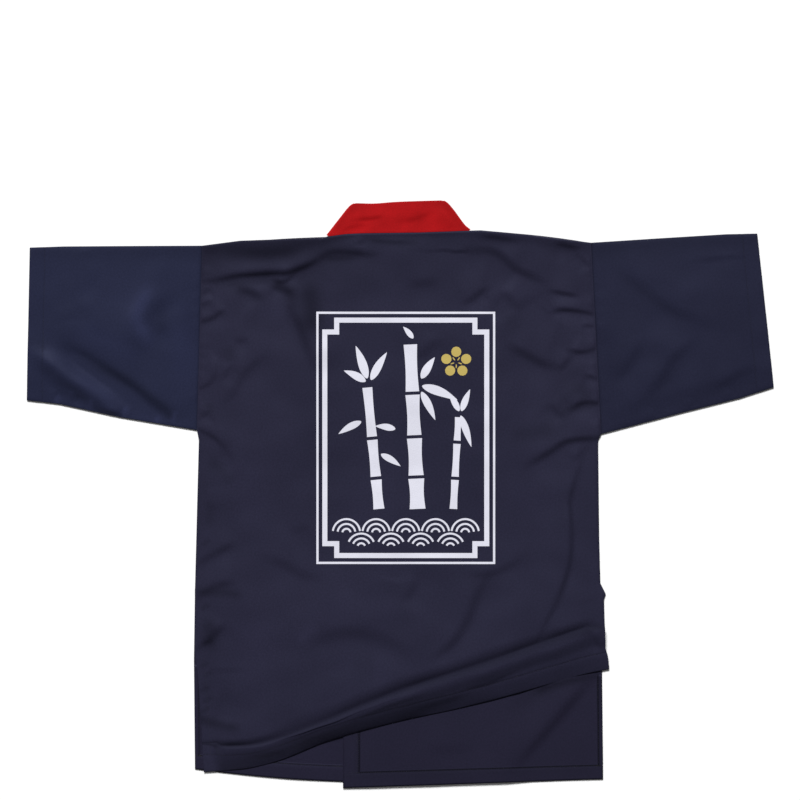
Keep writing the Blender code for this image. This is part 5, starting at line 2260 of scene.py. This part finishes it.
    def lay(self, name: str, strokes: list[Stroke], cloth: BVHTree,
            material: bpy.types.Material) -> bpy.types.Object:
        """Lay strokes on the back's surface as one thin piece.

        Args:
            name: Name of the piece.
            strokes: What is printed.
            cloth: The back's surface.
            material: The ink.

        Returns:
            The piece.
        """
        shape = bmesh.new()
        cut = shape.loops.layers.uv.new("cut")
        for index, stroke in enumerate(strokes):
            self.add_stroke(shape, cut, stroke, cloth, self.lift + self.layer_lift * (index % self.layers))
        piece = add_mesh(name, shape)
        dress(piece, material)
        return piece

    def add_stroke(self, shape: bmesh.types.BMesh, cut: bmesh.types.BMLayerItem, stroke: Stroke,
                   cloth: BVHTree, lift_by: float) -> None:
        """Add one stroke to a mesh.

        Args:
            shape: The mesh that it joins.
            cut: Its layer of places on the flat cloth.
            stroke: The stroke.
            cloth: The back's surface.
            lift_by: How far the stroke lies above it.
        """
        path = smooth_route(stroke.route, self.cell)
        walked = walked_lengths(path)
        if stroke.end is not StrokeEnd.SQUARE:
            even = walked[-1] * (1.0 - np.cos(math.pi * np.linspace(0.0, 1.0, len(path)))) / 2.0
            path = on_way(walked, path, even).T
            walked = even
        run = np.gradient(path, axis=0)
        run /= np.linalg.norm(run, axis=1, keepdims=True)
        left = np.stack([-run[:, 1], run[:, 0]], 1)
        half = stroke.widths(walked / walked[-1], walked[-1])
        across = max(2, math.ceil(stroke.width / self.cell))
        sides = np.linspace(-1.0, 1.0, across + 1)
        plan = path[:, None, :] + left[:, None, :] * (half[:, None] * sides)[:, :, None]
        plan = plan.reshape(-1, 2) + np.array(self.centre)
        made = bmesh.ops.create_grid(shape, x_segments=across, y_segments=len(path) - 1, size=1.0)
        for vertex, (x, y) in zip(made["verts"], plan):
            hit = cloth.ray_cast(Vector((x, y, self.ray_height)), Vector((0.0, 0.0, -1.0)))[0]
            vertex.co = (x, y, hit.z + lift_by)
        faces = {face for vertex in made["verts"] for face in vertex.link_faces}
        for face in sorted(faces, key=lambda item: item.index):
            face.smooth = True
            if face.calc_area() > 0.0:
                face.normal_update()
                if face.normal.z < 0.0:
                    face.normal_flip()
            for loop in face.loops:
                loop[cut].uv = loop.vert.co.xy

    def build(self, back: bpy.types.Object) -> list[bpy.types.Object]:
        """Make both inks on the back.

        Args:
            back: The panel that the inks lie on.

        Returns:
            A piece for each ink.
        """
        cloth = BVHTree.FromObject(back, bpy.context.evaluated_depsgraph_get())
        white = self.frame_strokes() + self.bamboo_strokes() + self.wave_strokes()
        return [
            self.lay("back_print", white, cloth, self.ink),
            self.lay("print_blossom", self.blossom_strokes(), cloth, self.gold),
        ]


@dataclass
class Studio:
    """The pale floor, the soft light and the camera straight above the coat."""

    paint: bpy.types.Material
    view_centre: Place = (-0.0007, 0.1276)
    view_width: float = 1.08
    lens: float = 135.0
    sensor: float = 36.0
    key_place: tuple[float, float, float] = (-3.6, 20.5, 21.6)
    key_size: float = 9.0
    key_power: float = 12800.0
    sky: float = 0.14
    floor_size: float = 9.0
    floor_drop: float = 0.0003

    def floor(self) -> None:
        """Lay the floor just under the coat."""
        shape = bmesh.new()
        down = Matrix.Translation((0.0, 0.0, -self.floor_drop))
        bmesh.ops.create_grid(shape, x_segments=1, y_segments=1, size=self.floor_size, matrix=down)
        ground = add_mesh("floor", shape)
        ground.data.materials.append(self.paint)

    def key(self) -> None:
        """Hang a square soft light that points at the coat."""
        light = bpy.data.lights.new("key", "AREA")
        light.size = self.key_size
        light.energy = self.key_power
        lamp = add_object("key", light)
        lamp.location = self.key_place
        lamp.rotation_euler = (-Vector(self.key_place)).to_track_quat("-Z", "Y").to_euler()

    def camera(self) -> None:
        """Hang the camera straight above the coat."""
        data = bpy.data.cameras.new("camera")
        data.lens = self.lens
        data.sensor_width = self.sensor
        camera = add_object("camera", data)
        height = self.view_width * self.lens / self.sensor
        camera.location = (*self.view_centre, height)
        data.clip_end = 4.0 * height
        bpy.context.scene.camera = camera

    def build(self) -> None:
        """Set up the whole studio."""
        self.camera()
        self.floor()
        self.key()
        world = bpy.data.worlds.new("studio")
        world.use_nodes = True
        sky = world.node_tree.nodes["Background"]
        sky.inputs["Color"].default_value = (1.0, 1.0, 1.0, 1.0)
        sky.inputs["Strength"].default_value = self.sky
        bpy.context.scene.world = world
        bpy.context.scene.view_settings.view_transform = "Standard"


def main() -> None:
    """Build the studio and every piece of the coat."""
    logging.basicConfig(level=logging.INFO, format="%(message)s")
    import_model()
    Studio(FloorPaint("floor_paint", (0.92, 0.92, 0.92)).material()).build()

    # The back's and both sleeves' navies are lit and shaded copies of one cloth, each painted lighter or
    # darker, and more or less blue, as painted light and shade
    back_navy = Twill("back_navy", (0.0181, 0.0173, 0.035)).material()
    left_sleeve_lit_twill = Twill("left_sleeve_lit_navy", (0.0152, 0.0174, 0.04)).material()
    right_sleeve_shaded_twill = Twill("right_sleeve_shaded_navy", (0.014, 0.0147, 0.032)).material()
    inside_navy = Twill("inside_navy", (0.014, 0.0126, 0.0265), gloss=0.1, sheen=0.01).material()
    navy_thread = Thread("navy_thread", (0.005, 0.0048, 0.01)).material()
    red_cotton = Cotton("red_cotton", (0.33, 0.005, 0.007)).material()
    red_thread = Thread("red_thread", (0.22, 0.008, 0.01)).material()

    back = BackPanel(back_navy, navy_thread)
    prints = BackPrint(
        PrintInk("white_ink", (0.66, 0.66, 0.75)).material(),
        PrintInk("gold_ink", (0.48, 0.37, 0.1)).material(),
    )
    floor_name = ("floor",)
    parts = {
        "front_left": FrontPanel("front_left", FRONT_LEFT, FRONT_LEFT_CREASES, (), inside_navy,
                                 navy_thread, False, Sheet((0.355, 0.74), 0.217, Lay.LAID, floor_name)),
        "front_right": FrontPanel("front_right", FRONT_RIGHT, FRONT_RIGHT_CREASES, FRONT_RIGHT_PAINTED_SHADOW,
                                  inside_navy, navy_thread, True,
                                  Sheet((0.355, 0.752), 0.218, Lay.LAID, ("front_left",))),
        "sleeve_left": Sleeve("sleeve_left", SLEEVE_LEFT, LEFT_SLEEVE_CREASES, LEFT_SLEEVE_PAINTED_SHADING, left_sleeve_lit_twill,
                              navy_thread, Sheet((0.5, 0.232), 0.107, Lay.LAID, floor_name)),
        "sleeve_right": Sleeve("sleeve_right", SLEEVE_RIGHT, RIGHT_SLEEVE_CREASES, RIGHT_SLEEVE_PAINTED_SHADE,
                               right_sleeve_shaded_twill, navy_thread, Sheet((0.52, 0.232), 0.11, Lay.LAID, floor_name)),
        "collar": Collar(red_cotton, red_thread),
        "back": back,
    }
    for node, part in parts.items():
        part.build()
        if part is back:
            part.extras += prints.build(back.piece)
        declare(node)
        LOG.info("%s: %d faces, with %s", part.piece.name, len(part.piece.data.polygons),
                 ", ".join(extra.name for extra in part.extras))


if __name__ == "__main__":
    main()
